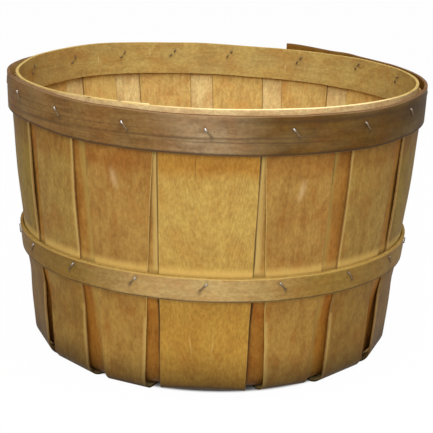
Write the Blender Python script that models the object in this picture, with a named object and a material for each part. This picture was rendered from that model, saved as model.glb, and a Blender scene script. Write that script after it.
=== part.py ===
"""Peck basket: crossed veneer staves held by three bent hoops and wire staples.

Lengths are metres, +Z is up and the front of the basket faces -Y.
Angles round the basket are degrees from the front, growing towards +X.
"""
import math

import bpy
import bmesh
from mathutils import Matrix, Vector

# Overall form
RIM_HEIGHT = 0.184
WALL_FOOT_RADIUS = 0.1230
WALL_SLOPE_SHARE = 0.0886
RIM_SLOPE_SHARE = 0.0200
RIM_BEND_DEPTH = 0.0275
FIT_GAP = 0.0003

# Staves: veneer strips that cross under the bottom
VENEER = 0.0011
STAVE_TOP_DROP = 0.0060
FOLD_RADIUS = 0.0110
FOOT_FLAT = 0.0060
INNER_FOOT_FLAT = 0.0020
FOOT_LIFT = 0.0026
FOOT_TUCK = 0.0017
TUCK_SPAN = 0.0180
ROUND_FROM_HEIGHT = 0.0660
NECK_WIDTH = 0.0220
NECK_REACH = 0.0600
HUB_REACH = 0.0220
HUB_RISE = 0.0040
SET_GAP = 0.0006
STAVE_COLUMNS = 4
WIDE_STAVE_COLUMNS = 6
WIDE_STAVE_ANGLE = 20
FOLD_STEPS = 4
TRANSITION_STEPS = 3

# Rim hoops
OUTER_HOOP_THICKNESS = 0.0022
OUTER_HOOP_WIDTH = 0.0235
INNER_HOOP_THICKNESS = 0.0020
INNER_HOOP_WIDTH = 0.0240

# Middle hoop
MIDDLE_HOOP_BASE = 0.0666
MIDDLE_HOOP_WIDTH = 0.0156
MIDDLE_HOOP_THICKNESS = 0.0021

# Hoop bends, in degrees round the basket
HOOP_STEP = 6
LEAST_STEP = 1.5
LAP_RAMP = 7
LAP_RAMP_STEPS = 4

# Lapped ends: where each hoop starts, and where it stops one turn later
OUTER_LAP = (137.3, 157.7)
INNER_LAP = (-34.6, -17.2)
MIDDLE_LAP = (152.5, 172.0)

# Wavering of the rim hoops: angle, and rise of a hoop's top over the rim in shares of its width
OUTER_HOOP_RISE_SHARES = (
    (137.3, -0.085), (180.0, -0.045), (240.0, -0.020), (300.0, 0.040), (330.0, -0.080),
    (360.0, -0.111), (400.0, -0.106), (425.0, -0.035), (450.0, -0.025), (478.0, 0.000),
    (500.0, 0.050), (517.7, 0.140),
)
INNER_HOOP_RISE_SHARES = (
    (-34.6, 0.000), (165.0, 0.000), (192.0, 0.055), (227.0, 0.120), (249.0, 0.075),
    (270.0, 0.000), (342.8, 0.000),
)

# Staples of the hoops
WIRE_WIDTH = 0.0010
WIRE_THICKNESS = 0.0007
HOLE_CLEARANCE = 0.0003
CROWN_LENGTH = 0.0068
CLINCH_LENGTH = 0.0026
RIM_STAPLE_DROP = 0.0078
RIM_STAPLE_SWING = 0.0023
RIM_STAPLE_TILT = -50
MIDDLE_STAPLE_TILT = 50
MIDDLE_STAPLE_LIFT = 0.0022
CUT_OVERRUN = 0.0010
RIM_STAPLE_ANGLES = (
    -61.5, -42.5, -22.0, -1.7, 19.2, 39.8, 59.7, 85.5, 106.6,
    128.4, 151.8, 176.2, 195.6, 213.6, 234.0, 257.1, 275.0,
)
MIDDLE_STAPLE_ANGLES = (
    -61.0, -40.7, -20.7, -1.9, 19.0, 40.4, 60.4, 80.2, 100.0,
    120.0, 140.0, 160.0, 180.0, 200.0, 220.0, 240.0, 260.0, 280.0,
)

# Staple under the crossing
BOTTOM_CROWN_LENGTH = 0.0090
BOTTOM_WIRE = 0.0012
BOTTOM_CLINCH_LENGTH = 0.0032
BOTTOM_STAPLE_TURN = 12

# Stave edges in degrees: front rim, front fold, back rim, back fold, each from left to right
OUTER_STAVE_EDGES = (
    ((-78.0, -58.0), (-76.5, -59.0), (102.5, 120.0), (103.0, 120.0)),
    ((-54.0, -38.5), (-55.0, -38.0), (126.0, 143.0), (125.0, 142.0)),
    ((-34.5, -14.7), (-32.0, -18.5), (147.0, 166.5), (146.0, 163.0)),
    ((-14.1, 11.1), (-13.7, 11.0), (172.0, 191.0), (168.0, 190.0)),
    ((11.7, 30.9), (16.3, 31.0), (198.5, 218.0), (196.0, 212.5)),
    ((36.5, 54.0), (36.0, 54.6), (222.0, 238.5), (218.5, 234.0)),
    ((58.6, 77.5), (60.6, 77.3), (243.0, 260.0), (242.5, 255.0)),
    ((83.0, 97.3), (83.0, 97.3), (263.0, 278.0), (262.0, 276.5)),
)
INNER_STAVE_EDGES = (
    ((-66.0, -49.5), (-66.0, -50.0), (112.0, 133.5), (113.5, 131.0)),
    ((-40.3, -25.5), (-41.5, -26.0), (141.4, 158.7), (139.5, 153.5)),
    ((-19.5, -5.5), (-22.0, -5.5), (165.0, 182.3), (162.0, 178.0)),
    ((8.5, 27.0), (8.0, 22.5), (189.4, 207.5), (187.0, 203.0)),
    ((29.3, 47.5), (29.0, 44.5), (216.4, 229.0), (211.0, 227.0)),
    ((52.3, 69.0), (52.0, 67.5), (236.8, 253.0), (233.0, 249.5)),
    ((74.0, 89.5), (74.0, 89.0), (254.5, 270.0), (253.5, 268.5)),
    ((95.0, 111.0), (95.0, 110.0), (272.0, 289.0), (273.0, 289.0)),
)
LAYER_STRIDE = 3
SHARP_ANGLE = 30

# Height of each stave's front fold over the floor, in shares of the foot lift
OUTER_FOOT_LIFT_SHARES = (0.0, 0.0, 0.0, 1.0, 0.7, 0.4, 0.0, 0.0)
INNER_FOOT_LIFT_SHARES = (0.0, 0.0, 1.0, 1.0, 0.7, 0.4, 0.0, 0.0)

# Colours
STAVE_COLOUR = (0.60, 0.36, 0.13, 1.0)
INNER_STAVE_COLOUR = (0.54, 0.29, 0.09, 1.0)
OUTER_HOOP_COLOUR = (0.22, 0.12, 0.05, 1.0)
INNER_HOOP_COLOUR = (0.47, 0.30, 0.12, 1.0)
MIDDLE_HOOP_COLOUR = (0.42, 0.27, 0.12, 1.0)
WIRE_COLOUR = (0.62, 0.60, 0.56, 1.0)

# Values worked out from the sizes above
LAYER_PITCH = VENEER + FIT_GAP
WALL_LEAN = math.atan(WALL_SLOPE_SHARE)
FOLD_TOP = FOLD_RADIUS * (1 - math.sin(WALL_LEAN))
FOLD_CENTRE = WALL_FOOT_RADIUS + WALL_SLOPE_SHARE * FOLD_TOP - FOLD_RADIUS * math.cos(WALL_LEAN)
STAVE_TOP = RIM_HEIGHT - STAVE_TOP_DROP
RIM_BEND_HEIGHT = RIM_HEIGHT - RIM_BEND_DEPTH


def remove_all_objects():
    for thing in list(bpy.data.objects):
        bpy.data.objects.remove(thing, do_unlink=True)


def wood(name, colour, roughness):
    """A plain wood material."""
    material = bpy.data.materials.new(name)
    material.use_nodes = True
    shader = material.node_tree.nodes["Principled BSDF"]
    shader.inputs["Base Color"].default_value = colour
    shader.inputs["Roughness"].default_value = roughness
    material.diffuse_color = colour
    return material


def wire():
    """Bright drawn wire."""
    material = wood("staple_wire", WIRE_COLOUR, 0.35)
    material.node_tree.nodes["Principled BSDF"].inputs["Metallic"].default_value = 1.0
    return material


def wall_radius(height):
    """Outer face of the outer staves at a height; the rim hoops hold the wall's top steeper."""
    over_bend = max(height - RIM_BEND_HEIGHT, 0.0)
    return WALL_FOOT_RADIUS + WALL_SLOPE_SHARE * height - (WALL_SLOPE_SHARE - RIM_SLOPE_SHARE) * over_bend


def wall_lean(height):
    """Lean of the wall at a height."""
    return math.atan(RIM_SLOPE_SHARE) if height > RIM_BEND_HEIGHT else WALL_LEAN


def outward(angle):
    """Level direction out of the basket at an angle from the front."""
    turn = math.radians(angle)
    return Vector((math.sin(turn), -math.cos(turn), 0))


def sideways(angle):
    """Level direction along the wall, towards growing angles."""
    turn = math.radians(angle)
    return Vector((math.cos(turn), math.sin(turn), 0))


def smooth(share):
    """Ease from 0 to 1 without a corner at either end."""
    held = min(max(share, 0.0), 1.0)
    return held * held * (3 - 2 * held)


def between(first, last, share):
    return first + (last - first) * share


def facet_sag(radius, step):
    """How far the middle of a flat facet lies inside the circle through its corners."""
    return radius * (1 / math.cos(math.radians(step) / 2) - 1)


def roundness(height):
    """1 where hoops hold the veneer round, falling to 0, flat, at the fold."""
    return smooth((height - FOLD_TOP) / (ROUND_FROM_HEIGHT - FOLD_TOP))


def stave_directions(edges):
    """Angle of each stave's centre line under the bottom, at its front half."""
    return [(sum(front_fold) + sum(back_fold)) / 4 - 90 for _, front_fold, _, back_fold in edges]


def widest_half(edges):
    """Largest sideways reach of a folded stave from its own centre line."""
    reach = 0.0
    for direction, (_, front_fold, _, back_fold) in zip(stave_directions(edges), edges):
        for centre, fold in ((direction, front_fold), (direction + 180, back_fold)):
            reach = max(reach, abs(fold[0] - centre), abs(fold[1] - centre))
    return math.radians(reach) * WALL_FOOT_RADIUS


# A flat inner stave's corners stand out by this much from its middle, so the layer moves inwards
CORNER_BOW = widest_half(INNER_STAVE_EDGES) ** 2 / (2 * WALL_FOOT_RADIUS)


def stave_point(direction, out, aside, bend, height):
    """Point across a stave, which is flat when bend is 0 and follows the wall when it is 1."""
    turn = bend * aside / out
    if turn:
        out -= aside * (1 - math.cos(turn)) / turn
        aside *= math.sin(turn) / turn
    return outward(direction) * out + sideways(direction) * aside + Vector((0, 0, height))


def half_stave_rows(direction, rim_edges, fold_edges, lift, layer, inner):
    """Rows of a stave's lower face from the rim to the hub: reach, left, right, bend and height."""
    inset = LAYER_PITCH if inner else 0.0
    bow = CORNER_BOW if inner else 0.0
    fold_top = FOLD_TOP + lift
    rows = []
    heights = [STAVE_TOP, RIM_BEND_HEIGHT, MIDDLE_HOOP_BASE + MIDDLE_HOOP_WIDTH, ROUND_FROM_HEIGHT]
    for step in range(1, TRANSITION_STEPS + 1):
        heights.append(between(ROUND_FROM_HEIGHT, fold_top, step / TRANSITION_STEPS))
    for height in heights:
        share = (STAVE_TOP - height) / (STAVE_TOP - fold_top)
        bend = roundness(height)
        tuck = FOOT_TUCK * smooth((ROUND_FROM_HEIGHT - height) / TUCK_SPAN)
        reach = wall_radius(height) - inset / math.cos(WALL_LEAN) - tuck - bow * (1 - bend)
        left, right = [
            math.radians(between(rim, fold, share) - direction) * reach
            for rim, fold in zip(rim_edges, fold_edges)
        ]
        rows.append((reach, left, right, bend, height))
    left, right = rows[-1][1:3]
    rows.pop()
    fold_centre = FOLD_CENTRE + WALL_SLOPE_SHARE * lift - FOOT_TUCK - bow
    for step in range(FOLD_STEPS + 1):
        turn = between(WALL_LEAN, math.pi / 2, step / FOLD_STEPS)
        radius = FOLD_RADIUS - inset
        reach = fold_centre + radius * math.cos(turn)
        rows.append((reach, left, right, 0.0, lift + FOLD_RADIUS - radius * math.sin(turn)))
    foot_edge = fold_centre - (INNER_FOOT_FLAT if inner else FOOT_FLAT)
    hub_height = HUB_RISE + layer * LAYER_PITCH + (SET_GAP if inner else 0.0)
    neck_rise = (foot_edge - NECK_REACH) / (foot_edge - HUB_REACH)
    neck = NECK_WIDTH / 2
    rows.append((foot_edge, left, right, 0.0, inset + lift))
    rows.append((NECK_REACH, -neck, neck, 0.0, between(inset, hub_height, neck_rise)))
    rows.append((HUB_REACH, -neck, neck, 0.0, hub_height))
    return rows


def surface_object(name, rows):
    """A sheet through rows of points, facing away from the basket's inside."""
    mesh = bpy.data.meshes.new(name)
    sheet = bmesh.new()
    grid = [[sheet.verts.new(point) for point in row] for row in rows]
    for upper, lower in zip(grid, grid[1:]):
        for column in range(len(upper) - 1):
            sheet.faces.new((upper[column], lower[column], lower[column + 1], upper[column + 1]))
    sheet.to_mesh(mesh)
    sheet.free()
    item = bpy.data.objects.new(name, mesh)
    bpy.context.collection.objects.link(item)
    return item


def thicken(item, thickness, side):
    """Give a sheet its thickness on its inner side (-1) or outer side (1)."""
    solid = item.modifiers.new("thickness", "SOLIDIFY")
    solid.thickness = thickness
    solid.offset = side
    solid.use_even_offset = True
    solid.use_quality_normals = True


def drill(item, cutters):
    """Open the staple holes in a piece."""
    for cutter in cutters:
        hole = item.modifiers.new("staple_holes", "BOOLEAN")
        hole.operation = "DIFFERENCE"
        hole.solver = "EXACT"
        hole.object = cutter


def shade_round(item):
    """Smooth shading with sharp edges where the veneer is cut."""
    item.data.shade_smooth()
    item.data.set_sharp_from_angle(angle=math.radians(SHARP_ANGLE))


def stave(name, edges, direction, lift, layer, inner, material):
    """One long stave: down the front wall, under the bottom and up the back wall."""
    front_rim, front_fold, back_rim, back_fold = edges
    front = half_stave_rows(direction, front_rim, front_fold, lift, layer, inner)
    back = half_stave_rows(direction + 180, back_rim, back_fold, 0.0, layer, inner)
    columns = STAVE_COLUMNS
    if front_rim[1] - front_rim[0] > WIDE_STAVE_ANGLE or back_rim[1] - back_rim[0] > WIDE_STAVE_ANGLE:
        columns = WIDE_STAVE_COLUMNS
    rows = []
    for reach, left, right, bend, height in front:
        asides = [between(left, right, column / columns) for column in range(columns + 1)]
        rows.append([stave_point(direction, reach, aside, bend, height) for aside in asides])
    for reach, left, right, bend, height in reversed(back):
        asides = [between(right, left, column / columns) for column in range(columns + 1)]
        rows.append([stave_point(direction + 180, reach, aside, bend, height) for aside in asides])
    item = surface_object(name, rows)
    item.data.materials.append(material)
    thicken(item, VENEER, -1)
    shade_round(item)
    return item


def make_staves(kind, edges, lift_shares, inner, material):
    """One set of crossed staves, each on its own level where they cross."""
    count = len(edges)
    staves = []
    for index, direction in enumerate(stave_directions(edges)):
        layer = (index * LAYER_STRIDE) % count + (count if inner else 0)
        lift = FOOT_LIFT * lift_shares[index]
        name = f"{kind}_{index + 1}"
        staves.append(stave(name, edges[index], direction, lift, layer, inner, material))
    return staves


def hoop_angles(lap):
    """Angles of a hoop's bends from its start round to its stop, with closer ones on its ramp."""
    start, stop = lap[0], lap[1] + 360
    angles = [start, stop]
    angles += [start + 360 - LAP_RAMP * step / LAP_RAMP_STEPS for step in range(LAP_RAMP_STEPS + 1)]
    for step in range(math.ceil(start / HOOP_STEP), int(stop / HOOP_STEP) + 1):
        if min(abs(step * HOOP_STEP - kept) for kept in angles) > LEAST_STEP:
            angles.append(step * HOOP_STEP)
    return sorted(angles)


def lap_share(angle, lap):
    """0 on a hoop's own circle, rising to 1 where its end lies on its start."""
    return smooth((angle - (lap[0] + 360 - LAP_RAMP)) / LAP_RAMP)


def rise_share(knots, angle):
    """Share of its width by which a hoop's top stands over the rim, from a table of knots."""
    for (first, low), (last, high) in zip(knots, knots[1:]):
        if first <= angle <= last:
            return between(low, high, smooth((angle - first) / (last - first)))
    return knots[0][1]


def outer_hoop_rise(angle):
    """Height of the outer hoop's top over the rim, which wavers as it goes round."""
    return OUTER_HOOP_WIDTH * rise_share(OUTER_HOOP_RISE_SHARES, angle)


def inner_hoop_rise(angle):
    """Height of the inner hoop's top over the rim."""
    return INNER_HOOP_WIDTH * rise_share(INNER_HOOP_RISE_SHARES, angle)


def hoop(name, lap, low, high, offset, lap_offset, rise, side, thickness, material):
    """A bent strip from low to high, offset from the wall's outer face, with its end lapped."""
    top, base = [], []
    for angle in hoop_angles(lap):
        lift = rise(angle)
        away = offset + lap_offset * lap_share(angle, lap)
        top.append(outward(angle) * (wall_radius(high + lift) + away) + Vector((0, 0, high + lift)))
        base.append(outward(angle) * (wall_radius(low + lift) + away) + Vector((0, 0, low + lift)))
    item = surface_object(name, [top, base])
    item.data.materials.append(material)
    thicken(item, thickness, side)
    shade_round(item)
    return item


def no_rise(angle):
    """Rise of a hoop that lies level."""
    return 0.0


def outer_seat():
    """Offset of the inner face of a hoop that goes round the outer staves."""
    return FIT_GAP + facet_sag(wall_radius(RIM_HEIGHT), HOOP_STEP)


def inner_seat():
    """Offset of the outer face of the hoop inside the inner staves."""
    stave_step = WIDE_STAVE_ANGLE / STAVE_COLUMNS
    return LAYER_PITCH + VENEER + FIT_GAP + facet_sag(wall_radius(RIM_HEIGHT), stave_step)


def staple_frame(angle, height, tilt):
    """Frame on the wall's outer face: X along the crown, Y across it, Z out of the wall."""
    lean = wall_lean(height)
    normal = outward(angle) * math.cos(lean) - Vector((0, 0, math.sin(lean)))
    upslope = outward(angle) * math.sin(lean) + Vector((0, 0, math.cos(lean)))
    turn = math.radians(tilt)
    along = sideways(angle) * math.cos(turn) + upslope * math.sin(turn)
    across = normal.cross(along)
    place = outward(angle) * wall_radius(height) + Vector((0, 0, height))
    frame = Matrix((along, across, normal)).transposed().to_4x4()
    frame.translation = place
    return frame


def staple(name, frame, crown_level, clinch_level, crown_length, clinch, width, thickness, material):
    """A clinched wire staple between two levels along its frame's Z."""
    outer = crown_length / 2
    inner = outer - thickness
    tip = outer - clinch
    top = crown_level + thickness
    low = clinch_level - thickness
    outline = [
        (-outer, top), (outer, top), (outer, low), (tip, low), (tip, clinch_level),
        (inner, clinch_level), (inner, crown_level), (-inner, crown_level),
        (-inner, clinch_level), (-tip, clinch_level), (-tip, low), (-outer, low),
    ]
    mesh = bpy.data.meshes.new(name)
    body = bmesh.new()
    side = body.faces.new([body.verts.new((x, -width / 2, z)) for x, z in outline])
    swept = bmesh.ops.extrude_face_region(body, geom=[side])["geom"]
    corners = [part for part in swept if isinstance(part, bmesh.types.BMVert)]
    bmesh.ops.translate(body, verts=corners, vec=(0, width, 0))
    bmesh.ops.recalc_face_normals(body, faces=body.faces)
    body.to_mesh(mesh)
    body.free()
    item = bpy.data.objects.new(name, mesh)
    item.matrix_world = frame
    item.data.materials.append(material)
    bpy.context.collection.objects.link(item)
    return item


def add_leg_holes(body, frame, crown_level, clinch_level, crown_length, width, thickness):
    """Boxes round a staple's two legs, a clearance wider than the wire."""
    length = crown_level - clinch_level + 2 * CUT_OVERRUN
    middle = (crown_level + clinch_level) / 2
    size = (thickness + 2 * HOLE_CLEARANCE, width + 2 * HOLE_CLEARANCE, length)
    for side in (-1, 1):
        place = Vector((side * (crown_length - thickness) / 2, 0, middle))
        shape = frame @ Matrix.Translation(place) @ Matrix.Diagonal(Vector(size).to_4d())
        bmesh.ops.create_cube(body, size=1.0, matrix=shape)


def hole_cutter(name, body):
    """A hidden cutter made of the leg holes."""
    mesh = bpy.data.meshes.new(name)
    body.to_mesh(mesh)
    body.free()
    item = bpy.data.objects.new(name, mesh)
    item.hide_render = True
    item.display_type = "WIRE"
    bpy.context.collection.objects.link(item)
    return item


def in_lap(angle, lap):
    """Whether a hoop is double at an angle."""
    return lap[0] <= angle <= lap[1] or lap[0] <= angle - 360 <= lap[1]


def make_rim_staples(material, holes):
    """Staples through the outer hoop, the staves and the inner hoop."""
    for index, angle in enumerate(RIM_STAPLE_ANGLES):
        turn = angle if angle > OUTER_LAP[0] else angle + 360
        drop = RIM_STAPLE_DROP + RIM_STAPLE_SWING * math.cos(math.radians(angle))
        height = RIM_HEIGHT + outer_hoop_rise(turn) - drop
        crown = outer_seat() + OUTER_HOOP_THICKNESS + FIT_GAP
        clinch = -inner_seat() - INNER_HOOP_THICKNESS - FIT_GAP
        clinch -= facet_sag(wall_radius(RIM_HEIGHT), HOOP_STEP)
        if in_lap(angle, OUTER_LAP):
            crown += OUTER_HOOP_THICKNESS + FIT_GAP
        if in_lap(angle, INNER_LAP):
            clinch -= INNER_HOOP_THICKNESS + FIT_GAP
        frame = staple_frame(angle, height, RIM_STAPLE_TILT)
        add_leg_holes(holes, frame, crown, clinch, CROWN_LENGTH, WIRE_WIDTH, WIRE_THICKNESS)
        staple(f"rim_staple_{index + 1:02d}", frame, crown, clinch, CROWN_LENGTH, CLINCH_LENGTH,
               WIRE_WIDTH, WIRE_THICKNESS, material)


def make_middle_staples(material, holes):
    """Staples through the middle hoop and the staves."""
    height = MIDDLE_HOOP_BASE + MIDDLE_HOOP_WIDTH / 2 + MIDDLE_STAPLE_LIFT
    for index, angle in enumerate(MIDDLE_STAPLE_ANGLES):
        crown = outer_seat() + MIDDLE_HOOP_THICKNESS + FIT_GAP
        clinch = -LAYER_PITCH - VENEER - FIT_GAP
        if in_lap(angle, MIDDLE_LAP):
            crown += MIDDLE_HOOP_THICKNESS + FIT_GAP
        tilt = MIDDLE_STAPLE_TILT if angle < 0 else -MIDDLE_STAPLE_TILT
        frame = staple_frame(angle, height, tilt)
        add_leg_holes(holes, frame, crown, clinch, CROWN_LENGTH, WIRE_WIDTH, WIRE_THICKNESS)
        staple(f"middle_staple_{index + 1:02d}", frame, crown, clinch, CROWN_LENGTH, CLINCH_LENGTH,
               WIRE_WIDTH, WIRE_THICKNESS, material)


def make_bottom_staple(material, holes):
    """The long staple down through the middle of the crossing."""
    layers = len(OUTER_STAVE_EDGES) + len(INNER_STAVE_EDGES)
    crown = HUB_RISE + layers * LAYER_PITCH + SET_GAP
    clinch = HUB_RISE - FIT_GAP
    frame = Matrix.Rotation(math.radians(BOTTOM_STAPLE_TURN), 4, "Z")
    add_leg_holes(holes, frame, crown, clinch, BOTTOM_CROWN_LENGTH, BOTTOM_WIRE, BOTTOM_WIRE)
    staple("bottom_staple", frame, crown, clinch, BOTTOM_CROWN_LENGTH, BOTTOM_CLINCH_LENGTH,
           BOTTOM_WIRE, BOTTOM_WIRE, material)


def make_hoops():
    """The rim's outer and inner hoops and the middle hoop."""
    outer = hoop(
        "outer_rim_hoop", OUTER_LAP, RIM_HEIGHT - OUTER_HOOP_WIDTH, RIM_HEIGHT, outer_seat(),
        OUTER_HOOP_THICKNESS + FIT_GAP, outer_hoop_rise, 1, OUTER_HOOP_THICKNESS,
        wood("outer_hoop_wood", OUTER_HOOP_COLOUR, 0.7))
    inner = hoop(
        "inner_rim_hoop", INNER_LAP, RIM_HEIGHT - INNER_HOOP_WIDTH, RIM_HEIGHT, -inner_seat(),
        -INNER_HOOP_THICKNESS - FIT_GAP, inner_hoop_rise, -1, INNER_HOOP_THICKNESS,
        wood("inner_hoop_wood", INNER_HOOP_COLOUR, 0.7))
    middle = hoop(
        "middle_hoop", MIDDLE_LAP, MIDDLE_HOOP_BASE, MIDDLE_HOOP_BASE + MIDDLE_HOOP_WIDTH, outer_seat(),
        MIDDLE_HOOP_THICKNESS + FIT_GAP, no_rise, 1, MIDDLE_HOOP_THICKNESS,
        wood("middle_hoop_wood", MIDDLE_HOOP_COLOUR, 0.7))
    return [outer, inner, middle]


def main():
    remove_all_objects()
    staves = make_staves(
        "outer_stave", OUTER_STAVE_EDGES, OUTER_FOOT_LIFT_SHARES, False,
        wood("stave_wood", STAVE_COLOUR, 0.55))
    staves += make_staves(
        "inner_stave", INNER_STAVE_EDGES, INNER_FOOT_LIFT_SHARES, True,
        wood("inner_stave_wood", INNER_STAVE_COLOUR, 0.6))
    hoops = make_hoops()
    metal = wire()
    wall_holes = bmesh.new()
    make_rim_staples(metal, wall_holes)
    make_middle_staples(metal, wall_holes)
    hub_holes = bmesh.new()
    make_bottom_staple(metal, hub_holes)
    wall_cutter = hole_cutter("wall_staple_holes", wall_holes)
    hub_cutter = hole_cutter("hub_staple_holes", hub_holes)
    for item in hoops:
        drill(item, [wall_cutter])
    for item in staves:
        drill(item, [wall_cutter, hub_cutter])


main()
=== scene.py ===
"""Peck basket: the finished surface of its veneer staves, bent hoops and wire staples.

Lengths are metres, +Z is up and the front of the basket faces -Y.
Angles round the basket are degrees from the front, growing towards +X.
Colours are linear red, green and blue.
"""
import math

import bpy
import numpy as np
from bpy.props import FloatProperty, FloatVectorProperty, PointerProperty
from mathutils import Matrix, Vector, noise


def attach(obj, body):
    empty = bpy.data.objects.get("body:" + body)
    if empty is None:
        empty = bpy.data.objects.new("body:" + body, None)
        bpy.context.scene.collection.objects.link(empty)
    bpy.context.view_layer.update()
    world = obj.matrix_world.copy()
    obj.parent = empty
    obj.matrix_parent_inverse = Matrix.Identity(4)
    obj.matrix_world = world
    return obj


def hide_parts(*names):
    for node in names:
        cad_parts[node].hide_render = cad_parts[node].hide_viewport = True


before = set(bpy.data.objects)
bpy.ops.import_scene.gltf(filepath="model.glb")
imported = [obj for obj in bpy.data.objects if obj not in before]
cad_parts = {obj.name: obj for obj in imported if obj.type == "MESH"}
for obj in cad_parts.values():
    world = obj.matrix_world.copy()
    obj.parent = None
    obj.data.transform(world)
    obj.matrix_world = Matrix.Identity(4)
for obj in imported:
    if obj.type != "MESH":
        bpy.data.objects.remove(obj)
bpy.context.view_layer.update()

bl_info = {
    "name": "Peck Basket",
    "version": (1, 0, 0),
    "blender": (4, 5, 0),
    "location": "3D View > Sidebar > Basket",
    "description": "Makes the finished surface of a veneer peck basket",
    "category": "Object",
}

BODY = "root"

# Stave edges in degrees: front rim, front fold, back rim, back fold, each from left to right
OUTER_STAVE_EDGES = (
    ((-78.0, -58.0), (-76.5, -59.0), (102.5, 120.0), (103.0, 120.0)),
    ((-54.0, -38.5), (-55.0, -38.0), (126.0, 143.0), (125.0, 142.0)),
    ((-34.5, -14.7), (-32.0, -18.5), (147.0, 166.5), (146.0, 163.0)),
    ((-14.1, 11.1), (-13.7, 11.0), (172.0, 191.0), (168.0, 190.0)),
    ((11.7, 30.9), (16.3, 31.0), (198.5, 218.0), (196.0, 212.5)),
    ((36.5, 54.0), (36.0, 54.6), (222.0, 238.5), (218.5, 234.0)),
    ((58.6, 77.5), (60.6, 77.3), (243.0, 260.0), (242.5, 255.0)),
    ((83.0, 97.3), (83.0, 97.3), (263.0, 278.0), (262.0, 276.5)),
)
INNER_STAVE_EDGES = (
    ((-66.0, -49.5), (-66.0, -50.0), (112.0, 133.5), (113.5, 131.0)),
    ((-40.3, -25.5), (-41.5, -26.0), (141.4, 158.7), (139.5, 153.5)),
    ((-19.5, -5.5), (-22.0, -5.5), (165.0, 182.3), (162.0, 178.0)),
    ((8.5, 27.0), (8.0, 22.5), (189.4, 207.5), (187.0, 203.0)),
    ((29.3, 47.5), (29.0, 44.5), (216.4, 229.0), (211.0, 227.0)),
    ((52.3, 69.0), (52.0, 67.5), (236.8, 253.0), (233.0, 249.5)),
    ((74.0, 89.5), (74.0, 89.0), (254.5, 270.0), (253.5, 268.5)),
    ((95.0, 111.0), (95.0, 110.0), (272.0, 289.0), (273.0, 289.0)),
)

# Order in which a set's staves are stacked at the crossing, and the staves beside the widest one
LAYER_STRIDE = 3
BESIDE_WIDEST_INNER = (2, 3)
# The outer staves beside the widest one get paler cut edges, where light is painted
BESIDE_WIDEST_OUTER = (2, 4)

# Height of each stave's front fold over the floor, in shares of the foot lift
OUTER_FOOT_LIFT_SHARES = (0.0, 0.0, 0.0, 1.0, 0.7, 0.4, 0.0, 0.0)
INNER_FOOT_LIFT_SHARES = (0.0, 0.0, 1.0, 1.0, 0.7, 0.4, 0.0, 0.0)

# Lapped ends of the hoops: where each starts, and where it stops one turn later
OUTER_LAP = (137.3, 157.7)
INNER_LAP = (-34.6, -17.2)
MIDDLE_LAP = (152.5, 172.0)

# Wavering of the rim hoops: angle, and rise of a hoop's top over the rim in shares of its width
OUTER_HOOP_RISE_SHARES = (
    (137.3, -0.085), (180.0, -0.045), (240.0, -0.020), (300.0, 0.040), (330.0, -0.080),
    (360.0, -0.111), (400.0, -0.106), (425.0, -0.035), (450.0, -0.025), (478.0, 0.000),
    (500.0, 0.050), (517.7, 0.140),
)
INNER_HOOP_RISE_SHARES = (
    (-34.6, 0.000), (165.0, 0.000), (192.0, 0.055), (227.0, 0.120), (249.0, 0.075),
    (270.0, 0.000), (342.8, 0.000),
)

# Staples round the hoops, in degrees
RIM_STAPLE_ANGLES = (
    -61.5, -42.5, -22.0, -1.7, 19.2, 39.8, 59.7, 85.5, 106.6,
    128.4, 151.8, 176.2, 195.6, 213.6, 234.0, 257.1, 275.0,
)
MIDDLE_STAPLE_ANGLES = (
    -61.0, -40.7, -20.7, -1.9, 19.0, 40.4, 60.4, 80.2, 100.0,
    120.0, 140.0, 160.0, 180.0, 200.0, 220.0, 240.0, 260.0, 280.0,
)

# Fineness of the meshes: steps are degrees, and SUPPORT is how far the row beside a cut edge lies from it
WALL_ROWS = 36
FOLD_ROWS = 8
TAPER_ROWS = 14
NECK_ROWS = 9
HUB_ROW_SHARES = (0.66, 0.33)
STAVE_COLUMNS = 13
HOOP_STEP = 1.5
HOOP_COLUMNS = 15
MIDDLE_HOOP_COLUMNS = 11
STAPLE_STEPS = (-1.6, -1.1, -0.8, -0.5, -0.25, 0.0, 0.25, 0.5, 0.8, 1.1, 1.6)
LEAST_STEP = 0.2
SUPPORT = 0.0006
CUT_ROWS = (0.2, 0.4, 0.6, 0.8)
WIRE_SIDES = 10
BEND_STEPS = 5

# Softness and unevenness of the wood
EDGE_SOFTNESS = 0.00028
EDGE_WANDER = 0.00022
EDGE_WANDER_LENGTH = 0.030
FACE_WANDER = 0.00030
FACE_WANDER_LENGTH = 0.045
FACE_WANDER_DRAW = 0.7
STAVE_END_WANDER = 0.0012
STAVE_NOISE_ROWS = (0.3, 7.7)
HOOP_NOISE_ROWS = (0.4, 5.4)
FACE_SEED_SHIFT = 3
BACK_SEED_SHIFT = 0.5
STAVE_SEED_STEP = 11.3
INSIDE_SEED_SHIFT = 50
HOOP_WANDER_DEGREES = 9.0
HOOP_CUP = 0.00012

# How far down the wall the rim hoops hold it, in widths of the wider one
RIM_HOLD = 1.13

# Degrees by which a place under an outer stave still counts as beside its edge
COVERED_DEGREES = 3.0

# Bulge of each stave in tenths of a millimetre: over the middle hoop, under it, and lift of its edges
TENTHS = 10000
OUTER_STAVE_BULGES = ((4, 2, 2), (4, 2, 1), (4, 3, 1), (3, 3, 1), (4, 3, 1), (4, 2, 1), (4, 2, 2), (4, 3, 3))
INNER_STAVE_BULGES = ((3, 2, 1), (2, 2, 1), (3, 2, 2), (3, 2, 1), (2, 2, 1), (3, 2, 1), (3, 2, 2), (2, 2, 1))

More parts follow.
